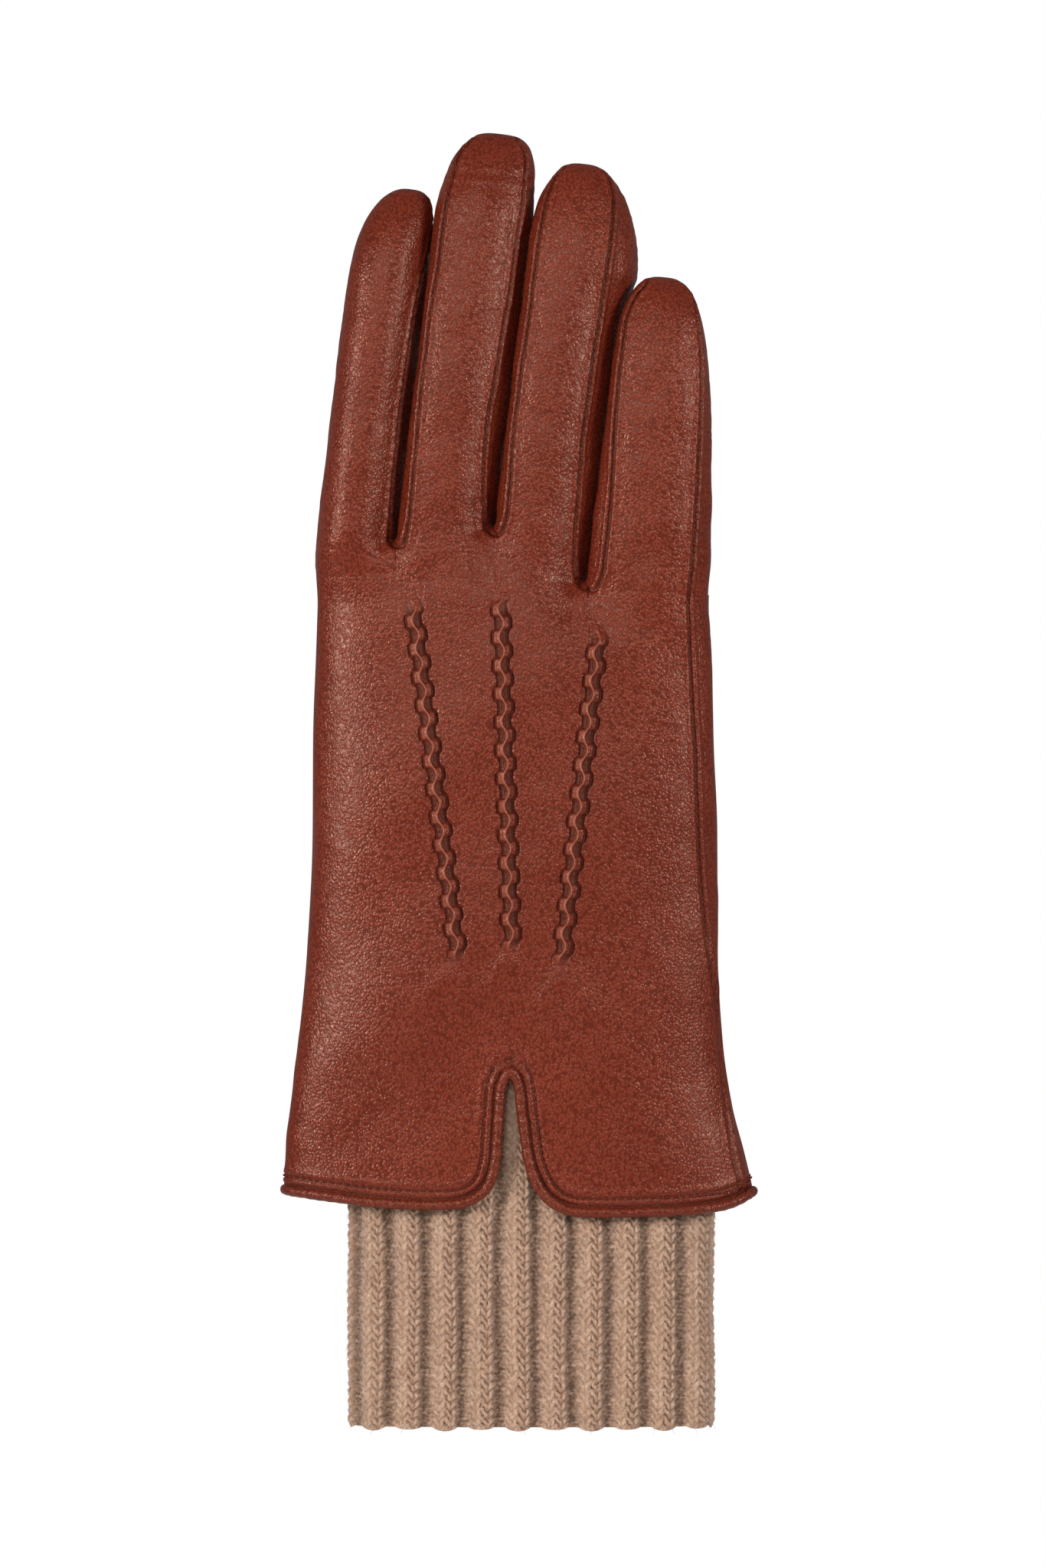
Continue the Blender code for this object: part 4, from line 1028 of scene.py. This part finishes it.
def thumb_surface(s, angle, inset=0.0):
    """Points of the thumb's skin at stations and angles."""
    s, angle = np.broadcast_arrays(np.asarray(s, float), np.asarray(angle, float))
    along, across, out = thumb_axes()
    x, y = superellipse(angle, THUMB_POWER)
    left = tip_round(s, THUMB_ROUND[0], THUMB_TIP - inset, THUMB_ROUND[1])
    wide = (table_curve(THUMB_SHAPE, s, 1) - inset) * left * x
    deep = (table_curve(THUMB_SHAPE, s, 2) - inset) * left * y
    return THUMB_FROM + s[..., None] * along + wide[..., None] * across + deep[..., None] * out


def thumb_skin(part, leather, inset=0.0, name=None):
    """Base or tip skin, or lining, of the thumb."""
    angles = full_turn(48 if inset else 96)
    cut = (THUMB_ROOT_ZONE[1] + THUMB_MID_ZONE[0]) / 2
    low, high = (-8.0, cut + 0.4) if part == "base" else (cut, THUMB_TIP - inset - 0.02)
    share = row_steps(low, high, 1.6 if inset else 0.7)[:, None]
    s = low + (high - low) * (share if part == "base" else crowd(share)) + 0 * angles
    points = thumb_surface(s, angles, inset)
    lift, dark = np.zeros(s.shape), np.zeros(s.shape)
    if inset == 0:
        lift = 0.18 * waves(points, 11.0, 55) + 0.05 * waves(points, 4.0, 56)
        between = (angles > THUMB_SEAMS[0]) & (angles < THUMB_SEAMS[1])
        for seam in THUMB_SEAMS:
            d = np.linalg.norm(points - thumb_surface(s, seam), axis=-1)
            d = d * np.where(between, -1.0, 1.0)
            lift += seam_relief(d, s)
            dark = np.maximum(dark, seam_painted_shade(d))
        lift *= np.clip((THUMB_TIP - s) / 3.0, 0, 1)
    normals = grid_normals(points, closed=True)
    if part == "tip":
        normals[-1] = thumb_axes()[0]
    points = points + normals * lift[..., None]
    return make_mesh(name or "thumb_%s_skin" % part, points, tube_faces(*s.shape, part == "tip"),
                     leather, crease=dark)


def thumb_flare(leather):
    """The flared root of the thumb, sewn into the palm."""
    angles = full_turn(96)
    cos, sin = np.cos(np.radians(angles)), np.sin(np.radians(angles))
    x0, z0, rx, rz = THUMB_HOLE
    share = np.linspace(0, 1, int(44 / COARSE))[:, None]
    x, z = x0 + (rx + 0.6) * cos, z0 - (rz + 0.6) * sin
    low = np.stack((x, hand_half_depth(x, z) - 0.5, z), -1)
    high = thumb_surface(-7.6 + 0 * angles, angles)
    outer = (1.0 + sin) / 2.0
    bend = low + np.stack((0 * x, 1.5 + 7.0 * outer, 0 * x), -1)
    along = thumb_axes()[0]
    under = high - along * (1.0 + 6.0 * outer)[:, None]
    t = share[..., None]
    points = (low * (1 - t) ** 3 + 3 * bend * t * (1 - t) ** 2 + 3 * under * t * t * (1 - t)
              + high * t ** 3)
    run = share * 22.0 + 0 * angles
    girth = np.cumsum(np.linalg.norm(np.roll(low, -1, 0) - low, axis=1))
    lift = 0.16 * waves(points, 11.0, 58) + seam_relief(run - 1.2, girth + 0 * run)
    lift *= np.clip((1 - share) * 8, 0, 1)
    normals = grid_normals(points, closed=True)
    middle = points.mean(1, keepdims=True)
    wrong = np.sum((points - middle) * normals, -1) < 0
    normals[wrong] *= -1
    points = points + normals * lift[..., None]
    return make_mesh("thumb_flare", points, grid_faces(*run.shape, closed=True), leather,
                     crease=seam_painted_shade(run - 1.2))


def blend_thumb(obj):
    """Bake the transform of a piece of the thumb into its mesh."""
    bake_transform(obj)


# ---------------------------------------------------------------- touch pads
def touch_pad(name, surface, stations, angles, mat):
    """A thin patch of touch leather with rounded corners and a sewn edge, with painted shade in the
    groove of that edge.
    """
    line = np.linspace(-1, 1, int(48 / COARSE))
    u, v = np.meshgrid(line, line, indexing="ij")
    bend = (np.abs(u) ** 4 + np.abs(v) ** 4) ** 0.25 / np.maximum(np.maximum(abs(u), abs(v)), 1e-6)
    u2, v2 = u / bend, v / bend
    s = (stations[0] + stations[1]) / 2 + (stations[1] - stations[0]) / 2 * u2
    a = (angles[0] + angles[1]) / 2 + (angles[1] - angles[0]) / 2 * v2
    points = surface(s, a)
    rim = np.maximum(np.abs(u), np.abs(v))
    lift = 0.62 - 0.75 * step_up(rim, 0.9, 1.0) - 0.25 * hump(rim, 0.84, 0.035)
    normals = grid_normals(points)
    if np.mean(normals[..., 1]) < 0:
        normals = -normals
    points = points + normals * lift[..., None]
    # painted shade in the groove along the sewn edge
    return make_mesh(name, points, grid_faces(*u.shape), mat, crease=0.8 * hump(rim, 0.84, 0.04))


# ---------------------------------------------------------------- knit
def cuff_line(count):
    """Evenly spread points of the cuff's outline and their outward directions."""
    x, y = superellipse(np.linspace(0, 360, 4001), CUFF_POWER)
    x, y = x * CUFF_HALF_W, y * CUFF_HALF_D
    length = np.concatenate(([0], np.cumsum(np.hypot(np.diff(x), np.diff(y)))))
    want = np.linspace(0, length[-1], count + 1)[:-1]
    px, py = np.interp(want, length, x), np.interp(want, length, y)
    dx = np.roll(px, -1) - np.roll(px, 1)
    dy = np.roll(py, -1) - np.roll(py, 1)
    size = np.hypot(dx, dy)
    return px, py, dy / size, -dx / size


def knit_height(run, z):
    """Height, strand crests, painted lightness and purl bars of the rib knit at a place in ribs and
    a height; the lightness paints shade into the valleys.
    """
    place = run % 1.0
    in_rib = place / RIB_SHARE
    rib = place < RIB_SHARE
    column = np.where(in_rib < 0.5, in_rib * 2, in_rib * 2 - 1)
    leg = np.abs(column * 2 - 1)
    row = z / ROW_PITCH
    t = (row - 0.95 * leg + 0.04 * np.sign(column - 0.5)) % 1.0
    strand = np.sqrt(np.clip(1 - ((t - 0.5) * 2.25) ** 2, 0, 1))
    width = np.sin(np.pi * np.clip(leg * 0.96 + 0.02, 0, 1)) ** 0.5
    crisp = np.where(in_rib < 0.5, 0.6, 1.0)
    valley = np.clip((place - RIB_SHARE) / (1 - RIB_SHARE), 0, 1)
    bar = np.sqrt(np.clip(1 - ((2 * row + 0.6 * valley) % 1.0 * 2 - 1) ** 2, 0, 1))
    base = np.interp(place, RIB_PROFILE[0], RIB_PROFILE[1])
    detail = np.where(rib, 0.55 * crisp * (strand * width - 0.55),
                      0.20 * (bar - 0.4) * np.sin(np.pi * valley))
    crest = np.where(rib, 1 - crisp * (1 - strand * width), 0.35 + 0.5 * bar)
    return base + detail, crest, np.interp(place, RIB_PROFILE[0], RIB_PROFILE[2]), bar * ~rib


def knit_cuff(mat):
    """The rib-knit cuff: outer face with its stitches, scalloped lower edge and inner face."""
    count = int(620 / COARSE)
    px, py, nx, ny = cuff_line(count)
    heights = np.concatenate((np.arange(0.0, 56.0, 0.28 * COARSE),
                              np.arange(56.0, CUFF_SHOWN, 0.45 * COARSE), (CUFF_TOP,)))
    run = np.arange(count) / count * CUFF_RIBS + CUFF_PHASE
    r, z = np.meshgrid(run, heights)
    wob = 0.10 * np.sin(z / 5.3 + 2.1) + 0.08 * np.sin(z / 2.9 + r * 1.7)
    sway = 0.012 * np.sin(z / 7.0 + r) + 0.008 * np.sin(z / 3.1 + 2 * r)
    spots = np.stack((px + 0 * z, py + 0 * z, z), -1)
    ragged = 0.022 * waves(spots, 1.5, 17) + 0.016 * np.sin(2 * np.pi * z / ROW_PITCH)
    height, crest, light, bars = knit_height(r + sway + ragged, z + wob)
    # the raised purl bars in the valleys get a painted highlight
    light = np.clip(light + 0.34 * bars * np.clip(waves(spots, 0.9, 18), -0.2, 1.2), 0, 1)
    height = height + 0.045 * waves(spots, 1.1, 14) + 0.05 * waves(spots, 4.0, 15)
    body = 0.35 * waves(spots, 22.0, 16)
    end = step_up(z, 0.0, 1.4)
    depth = (KNIT_DEEP * height - 0.55 * KNIT_DEEP) * (0.25 + 0.75 * end) + body * 0.4
    outer = np.stack((px + nx * depth, py + ny * depth, z + 0 * px), -1)
    round_end = np.sin(np.pi * np.clip((r % 1.0) / RIB_SHARE, 0, 1)) ** 0.6
    uneven = 1 + 0.25 * np.sin(3.1 * r + 1.0)
    outer[..., 2] += (1.0 - 0.7 * round_end * uneven) * (1 - step_up(z, 0.0, 7.0))
    inner_z, inset = CUFF_INSIDE[:, :1], CUFF_INSIDE[:, 1:]
    inner = np.stack((px - nx * inset, py - ny * inset, inner_z + 0 * px), -1)
    points = np.concatenate((inner, outer))
    # the inner face is painted evenly at a middle darkness
    plain = np.full(inner.shape[:2], 0.6)
    # painted shade between the strands, away from their crests
    crease = np.concatenate((plain, 1 - np.clip(crest, 0, 1)))
    faces = grid_faces(len(points), count, closed=True)
    rib = np.concatenate((plain, light))
    cuff = make_mesh("cuff_knit", points, faces, mat, crease=crease, rib=rib)
    seen = (z < 50.0) & (height > 0.45)
    return cuff, wool_fuzz(outer[seen], np.stack((nx + 0 * z, ny + 0 * z, 0 * z), -1)[seen], mat)


def wool_fuzz(spots, ways, mat):
    """Loose fibre ends that stand off the wool, each a thin curved three-sided spike."""
    rng = np.random.default_rng(31)
    verts, faces, crease = [], [], []
    for i in rng.choice(len(spots), int(FIBRE_ENDS / COARSE), replace=False):
        out = ways[i]
        lean = rng.normal(size=3)
        lean = unit(lean - out * lean.dot(out))
        curl = np.cross(out, lean) * rng.uniform(-0.5, 0.5)
        size = rng.uniform(0.5, 1.5)
        side = np.cross(lean, out)
        base = len(verts)
        for t, wide in ((0.0, 0.035), (0.5, 0.03), (1.0, 0.012)):
            at = spots[i] + out * (0.35 * math.sin(2.2 * t) * size - 0.1)
            at = at + (lean * t + curl * t * t) * size
            for k in range(3):
                turn = 2 * math.pi * k / 3
                verts.append(at + (out * math.cos(turn) + side * math.sin(turn)) * wide)
        faces += [tuple(base + v for v in quad) for quad in grid_faces(3, 3, closed=True)]
        faces += [(base, base + 2, base + 1), (base + 6, base + 7, base + 8)]
        crease += [rng.uniform(0.0, 0.3)] * 9
    return make_mesh("cuff_fuzz", verts, faces, mat, crease=crease, rib=np.ones(len(verts)))


def hand_lining(knit):
    """Inner knit tube of the hand."""
    angles = full_turn(120)
    z = np.linspace(80.5, 176.0, 62)[:, None] + 0 * angles
    x, y = superellipse(angles, HAND_POWER)
    left, right, deep = (table_curve(HAND, z, k) for k in (1, 2, 3))
    inset = 2.2 + 3.0 * step_up(z, 150.0, 176.0)
    points = np.stack(((left + right) / 2 + ((right - left) / 2 - inset) * x,
                       (deep - inset) * y, z), -1)
    lift = 0.12 * waves(points, 1.8, 21)
    points = points + grid_normals(points, True) * lift[..., None]
    return make_mesh("hand_lining_knit", points, grid_faces(*z.shape, closed=True), knit,
                     crease=np.zeros(z.shape))


# ---------------------------------------------------------------- materials
def give(node, **values):
    """Set inputs of a node; an underscore stands for a space in an input's name."""
    for key, value in values.items():
        node.inputs[key.replace("_", " ")].default_value = value
    return node


class Nodes:
    """A small helper that adds and joins the nodes of one material."""

    def __init__(self, name, colour):
        self.mat = bpy.data.materials.new(name)
        self.mat.use_nodes = True
        self.mat.diffuse_color = colour + (1.0,)
        self.tree = self.mat.node_tree
        self.shader = self.tree.nodes["Principled BSDF"]

    def new(self, kind, **values):
        """A new shader node with some of its inputs set."""
        return give(self.tree.nodes.new("ShaderNode" + kind), **values)

    def join(self, out, into):
        self.tree.links.new(out, into)

    def attribute(self, name):
        """The node that reads a value kept on the mesh's points."""
        node = self.new("Attribute")
        node.attribute_name = name
        return node

    def rest(self):
        """Place on the unbent glove, in millimetres."""
        return self.attribute("rest").outputs["Vector"]

    def scaled(self, vector, scale):
        node = self.new("Mapping", Scale=scale if isinstance(scale, tuple) else (scale,) * 3)
        self.join(vector, node.inputs["Vector"])
        return node.outputs["Vector"]

    def noise(self, vector, size, detail=3.0, rough=0.5):
        """Soft noise with features of one size in millimetres."""
        node = self.new("TexNoise", Scale=1.0, Detail=detail, Roughness=rough)
        self.join(self.scaled(vector, 1.0 / size), node.inputs["Vector"])
        return node.outputs["Fac"]

    def spread(self, value, low, high, to_low=0.0, to_high=1.0):
        """A value's range between two numbers, moved to two others."""
        node = self.new("MapRange", From_Min=low, From_Max=high, To_Min=to_low, To_Max=to_high)
        self.join(value, node.inputs["Value"])
        return node.outputs["Result"]

    def plus(self, a, b):
        node = self.new("Math")
        self.join(a, node.inputs[0])
        self.join(b, node.inputs[1])
        return node.outputs[0]

    def mix(self, share, a, b):
        node = self.new("Mix")
        node.data_type = "RGBA"
        self.join(share, node.inputs[0])
        for socket, value in ((node.inputs[6], a), (node.inputs[7], b)):
            if isinstance(value, tuple):
                socket.default_value = value + (1.0,)
            else:
                self.join(value, socket)
        return node.outputs[2]

    def bump(self, height, strength, distance, normal=None):
        """Fine relief, with its depth in millimetres, on top of another normal."""
        node = self.new("Bump", Strength=strength, Distance=distance * MM)
        self.join(height, node.inputs["Height"])
        if normal is not None:
            self.join(normal, node.inputs["Normal"])
        return node.outputs["Normal"]

    def finish(self, colour, normal):
        """The material, with its colour and relief joined to the shader."""
        self.join(colour, self.shader.inputs["Base Color"])
        self.join(normal, self.shader.inputs["Normal"])
        return self.mat


def darker(colour, share):
    """A share of a colour."""
    return tuple(c * share for c in colour)


# Colour of the painted highlight along the crests of the points.
PAINTED_HIGHLIGHT = (0.40, 0.125, 0.075)


def leather_material(name, base, worn, deep, rough, grain=0.52):
    """Pebbled leather: grain cells, fine pores, soft colour changes, painted shade in grooves and a
    painted highlight on the points' crests.
    """
    n = Nodes(name, base)
    rest = n.rest()
    crease = n.attribute("crease").outputs["Fac"]
    warp = n.new("VectorMath")
    warp.operation = "MULTIPLY_ADD"
    fine = n.new("TexNoise", Scale=0.8)
    n.join(rest, fine.inputs["Vector"])
    n.join(fine.outputs["Color"], warp.inputs[0])
    warp.inputs[1].default_value = (1.0, 1.0, 1.0)
    n.join(rest, warp.inputs[2])
    cells = n.new("TexVoronoi")
    cells.feature = "SMOOTH_F1"
    give(cells, Scale=1.0, Smoothness=0.35)
    n.join(n.scaled(warp.outputs[0], (1.0 / grain, 1.0 / grain, 0.8 / grain)),
           cells.inputs["Vector"])
    pebble = n.spread(cells.outputs["Distance"], 0.05, 0.7, 1.0, 0.0)
    pores = n.noise(rest, 0.4, 2.0)
    patches = n.noise(rest, 16.0, 3.0, 0.5)
    cloud = n.noise(rest, 50.0, 2.0)
    tone = n.mix(n.spread(patches, 0.3, 0.7), base, worn)
    tone = n.mix(n.spread(cloud, 0.35, 0.7, 0.0, 0.4), tone, deep)
    tone = n.mix(n.spread(pebble, 0.05, 0.6, 0.8, 0.0), tone, darker(deep, 0.7))
    # values below zero paint a highlight; values above zero paint shade in grooves
    tone = n.mix(n.spread(crease, -1.0, 0.0, 0.8, 0.0), tone, PAINTED_HIGHLIGHT)
    tone = n.mix(n.spread(crease, 0.0, 1.0, 0.0, 0.85), tone, darker(deep, 0.22))
    gloss = n.plus(n.spread(patches, 0.25, 0.75, rough - 0.02, rough + 0.03),
                   n.spread(crease, 0.0, 1.0, 0.0, 0.35))
    gloss = n.plus(gloss, n.spread(pores, 0.35, 0.65, -0.06, 0.08))
    n.join(gloss, n.shader.inputs["Roughness"])
    normal = n.bump(pebble, 0.7, 0.13)
    normal = n.bump(pores, 0.4, 0.04, normal)
    lines = n.noise(n.scaled(rest, (0.4, 0.4, 1.0)), 2.4, 3.0)
    normal = n.bump(lines, 0.4, 0.14, normal)
    give(n.shader, Specular_IOR_Level=0.48, Specular_Tint=(1.0, 0.62, 0.48, 1.0))
    return n.finish(tone, normal)


def knit_material(name, light, middle, dark, size=1.0):
    """Heather knit: mixed fibres of three tones, with painted shade between the strands and in the
    rib valleys.
    """
    n = Nodes(name, middle)
    rest = n.rest()
    crease = n.attribute("crease").outputs["Fac"]
    rib = n.attribute("rib").outputs["Fac"]
    fibres = n.noise(n.scaled(rest, (2.0, 1.6, 0.9)), 0.45 * size, 4.0, 0.7)
    flecks = n.noise(n.scaled(rest, (1.3, 1.3, 1.0)), 0.8 * size, 2.0, 0.5)
    mottle = n.noise(rest, 2.6 * size, 3.0, 0.6)
    tone = n.mix(n.spread(mottle, 0.35, 0.65), light, middle)
    tone = n.mix(n.spread(fibres, 0.5, 0.68, 0.0, 0.75), tone, dark)
    tone = n.mix(n.spread(flecks, 0.56, 0.70, 0.0, 0.5), tone,
                 (light[0] * 1.15, light[1] * 1.2, light[2] * 1.2))
    # painted shade between the strands
    tone = n.mix(n.spread(crease, 0.12, 0.85, 0.0, 0.85), tone, dark)
    specks = n.spread(n.noise(rest, 0.75 * size, 3.0, 0.6), 0.35, 0.65, -0.24, 0.30)
    # painted shade in the rib valleys, from the rib layer's lightness and random specks
    tone = n.mix(n.spread(n.plus(rib, specks), 0.0, 1.0, 0.92, 0.0), tone, darker(dark, 0.38))
    give(n.shader, Roughness=0.95, Specular_IOR_Level=0.12, Sheen_Weight=0.25,
         Sheen_Roughness=0.6)
    hairs = n.noise(n.scaled(rest, (3.0, 2.0, 1.0)), 0.3 * size, 4.0)
    return n.finish(tone, n.bump(hairs, 0.8, 0.2))


def thread_material(name, colour):
    """Fine twisted sewing thread."""
    n = Nodes(name, (0.8, 0.8, 0.8))
    strands = n.noise(n.scaled(n.rest(), (3.0, 3.0, 3.0)), 0.5, 2.0)
    tone = n.mix(n.spread(strands, 0.35, 0.65), colour, darker(colour, 0.45))
    give(n.shader, Roughness=0.7, Specular_IOR_Level=0.15)
    return n.finish(tone, n.bump(strands, 0.6, 0.05))


def floor_material():
    """Pale floor with a faint unevenness."""
    n = Nodes("pale_floor", (0.8, 0.8, 0.8))
    place = n.new("TexCoord").outputs["Object"]
    tone = n.mix(n.noise(place, 0.4, 2.0), (0.90, 0.90, 0.90), (0.94, 0.94, 0.94))
    n.join(tone, n.shader.inputs["Base Color"])
    give(n.shader, Roughness=0.9)
    return n.mat


# ---------------------------------------------------------------- stage
WORLD_FILL = 0.17
LIGHTS = (
    ("key", (-1.15, -0.85, 0.40), 0.34, 14.0),
    ("front", (-0.15, -1.5, 0.85), 0.50, 7.5),
    ("side", (1.10, -0.80, 0.48), 0.34, 9.5),
    ("back", (-0.5, 1.6, 0.9), 0.7, 12.0),
)
AIM = (0.0, 0.0, 0.15)
CAMERA_AT = (-0.0018, -1.896, 0.1403)
FLOOR_Z = -120.0


def build_stage():
    """Pale floor, soft studio light and the camera."""
    turn = np.radians(full_turn(96))
    rings = [np.stack((r * np.cos(turn), r * np.sin(turn), 0 * turn + FLOOR_Z), -1)
             for r in (1.0, 150.0, 320.0, 480.0)]
    floor = make_mesh("floor", np.array(rings), grid_faces(4, 96, closed=True, flip=True),
                      floor_material())
    world = bpy.data.worlds.new("studio")
    world.use_nodes = True
    tree = world.node_tree
    seen = tree.nodes["Background"]
    seen.inputs[0].default_value = (1.0, 1.0, 1.0, 1.0)
    fill = tree.nodes.new("ShaderNodeBackground")
    fill.inputs[0].default_value = (1.0, 0.98, 0.96, 1.0)
    fill.inputs[1].default_value = WORLD_FILL
    rays = tree.nodes.new("ShaderNodeLightPath")
    mix = tree.nodes.new("ShaderNodeMixShader")
    tree.links.new(rays.outputs["Is Camera Ray"], mix.inputs[0])
    tree.links.new(fill.outputs[0], mix.inputs[1])
    tree.links.new(seen.outputs[0], mix.inputs[2])
    tree.links.new(mix.outputs[0], tree.nodes["World Output"].inputs[0])
    bpy.context.scene.world = world
    for name, place, size, power in LIGHTS:
        light = area_light(name, place, size, power)
        light.visible_glossy = name != "back"
    camera = bpy.data.cameras.new("camera")
    camera.lens, camera.sensor_width = 200.0, 36.0
    camera.clip_end = 20.0
    obj = bpy.data.objects.new("camera", camera)
    obj.location = CAMERA_AT
    obj.rotation_euler = (math.pi / 2, 0.0, 0.0)
    bpy.context.scene.collection.objects.link(obj)
    bpy.context.scene.camera = obj
    bpy.context.scene.view_settings.view_transform = "Standard"


def area_light(name, place, size, power):
    """A square soft light aimed at the middle of the glove."""
    data = bpy.data.lights.new(name, "AREA")
    data.size, data.energy = size, power
    obj = bpy.data.objects.new(name, data)
    obj.location = place
    way = Vector(AIM) - Vector(place)
    obj.rotation_euler = way.to_track_quat("-Z", "Y").to_euler()
    bpy.context.scene.collection.objects.link(obj)
    return obj


# ---------------------------------------------------------------- the glove
def node_names(part):
    """CAD nodes whose names hold a part."""
    return [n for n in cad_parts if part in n]


def tree_of(*objects):
    """A search tree over the faces of objects."""
    verts, faces = [], []
    for obj in objects:
        base = len(verts)
        verts += [v.co for v in obj.data.vertices]
        faces += [tuple(base + i for i in p.vertices) for p in obj.data.polygons]
    return BVHTree.FromPolygons(verts, faces)


def dress(obj, slot, *nodes):
    """Hide the CAD nodes that a piece stands for."""
    if nodes:
        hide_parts(*nodes)


def build_fingers(leather, knit):
    """Skins and linings of the four fingers."""
    for n, finger in enumerate(FINGERS):
        name = finger["name"]
        zones = (("root", "base", finger["root"], "hand", name + "_base"),
                 ("tip", "tip", finger["mid"], name + "_base", name + "_tip"))
        for part, cad, zone, low, high in zones:
            skin = finger_piece(n, part, leather)
            blend_finger(skin, finger, zone)
            nodes = node_names(name + "_" + cad)
            dress(skin, "leather", *(node for node in nodes if "lining" not in node))
            lining = finger_lining(n, part, knit)
            blend_finger(lining, finger, zone)
            dress(lining, "knit_lining", *(node for node in nodes if "lining" in node))


def build_thumb(leather, knit):
    """Skins and linings of the thumb and its flared root."""
    flare = thumb_flare(leather)
    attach(flare, "hand")
    dress(flare, "leather", "thumb_root")
    zones = (("base", THUMB_ROOT_ZONE, "hand", "thumb_base"),
             ("tip", THUMB_MID_ZONE, "thumb_base", "thumb_tip"))
    for part, zone, low, high in zones:
        skin = thumb_skin(part, leather)
        blend_thumb(skin)
        dress(skin, "leather", "thumb_" + part)
        lining = thumb_skin(part, knit, LINING_INSET, "thumb_%s_knit" % part)
        blend_thumb(lining)
        dress(lining, "knit_lining", "thumb_%s_lining" % part)


def build_hand(leather, binding, knit, lining, thread):
    """Hand skins, binding, stitches, points, cuff and lining."""
    back = hand_skin(True, leather)
    palm = hand_skin(False, leather)
    roll = binding_roll(binding)
    stitches = stitch_row(tree_of(back, palm), thread)
    cuff, fuzz = knit_cuff(knit)
    inner = hand_lining(lining)
    surface = tree_of(back)
    pieces = [(back, "leather", "hand_back", *node_names("crotch_")),
              (palm, "leather", "hand_palm"), (roll, "binding_leather", "hem_binding"),
              (stitches, "binding_leather"), (cuff, "wool_knit", "knit_cuff"),
              (fuzz, "wool_knit"), (inner, "knit_lining", "hand_lining")]
    for name, top, bottom in POINTS:
        strip = point_strip(name + "_pleat", top, bottom, surface, leather)
        pieces.append((strip, "leather", name))
    sink_points(back)
    for obj, slot, *nodes in pieces:
        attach(obj, "hand")
        dress(obj, slot, *nodes)


def build_pads(touch):
    """Touch patches on the fingertip of the index finger and the thumb."""
    index = touch_pad("index_touch_patch", lambda s, a: finger_surface(FINGERS[0], s, a),
                      (52.5, 65.0), (60.0, 120.0), touch)
    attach(index, "index_tip")
    dress(index, "touch_leather", "index_touch_pad")
    thumb = touch_pad("thumb_touch_patch", thumb_surface, (36.0, 44.0), (-40.0, 40.0), touch)
    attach(thumb, "thumb_tip")
    dress(thumb, "touch_leather", "thumb_touch_pad")


def main():
    """Build the visual glove round the frame."""
    leather = leather_material("pebbled_leather", (0.190, 0.025, 0.010), (0.222, 0.032, 0.014),
                               (0.122, 0.014, 0.006), 0.31)
    binding = leather_material("binding_leather", (0.172, 0.023, 0.009), (0.205, 0.032, 0.014),
                               (0.108, 0.013, 0.006), 0.30, 0.45)
    touch = leather_material("touch_leather", (0.130, 0.032, 0.021), (0.160, 0.042, 0.028),
                             (0.080, 0.018, 0.012), 0.55, 0.35)
    wool = knit_material("heather_wool", (0.640, 0.425, 0.300), (0.500, 0.305, 0.200),
                         (0.250, 0.130, 0.075))
    fine = knit_material("fine_knit", (0.430, 0.290, 0.190), (0.330, 0.210, 0.130),
                         (0.200, 0.120, 0.070), 0.6)
    thread = thread_material("sewing_thread", (0.150, 0.024, 0.011))
    build_fingers(leather, fine)
    build_thumb(leather, fine)
    build_hand(leather, binding, wool, fine, thread)
    build_pads(touch)
    build_stage()


main()
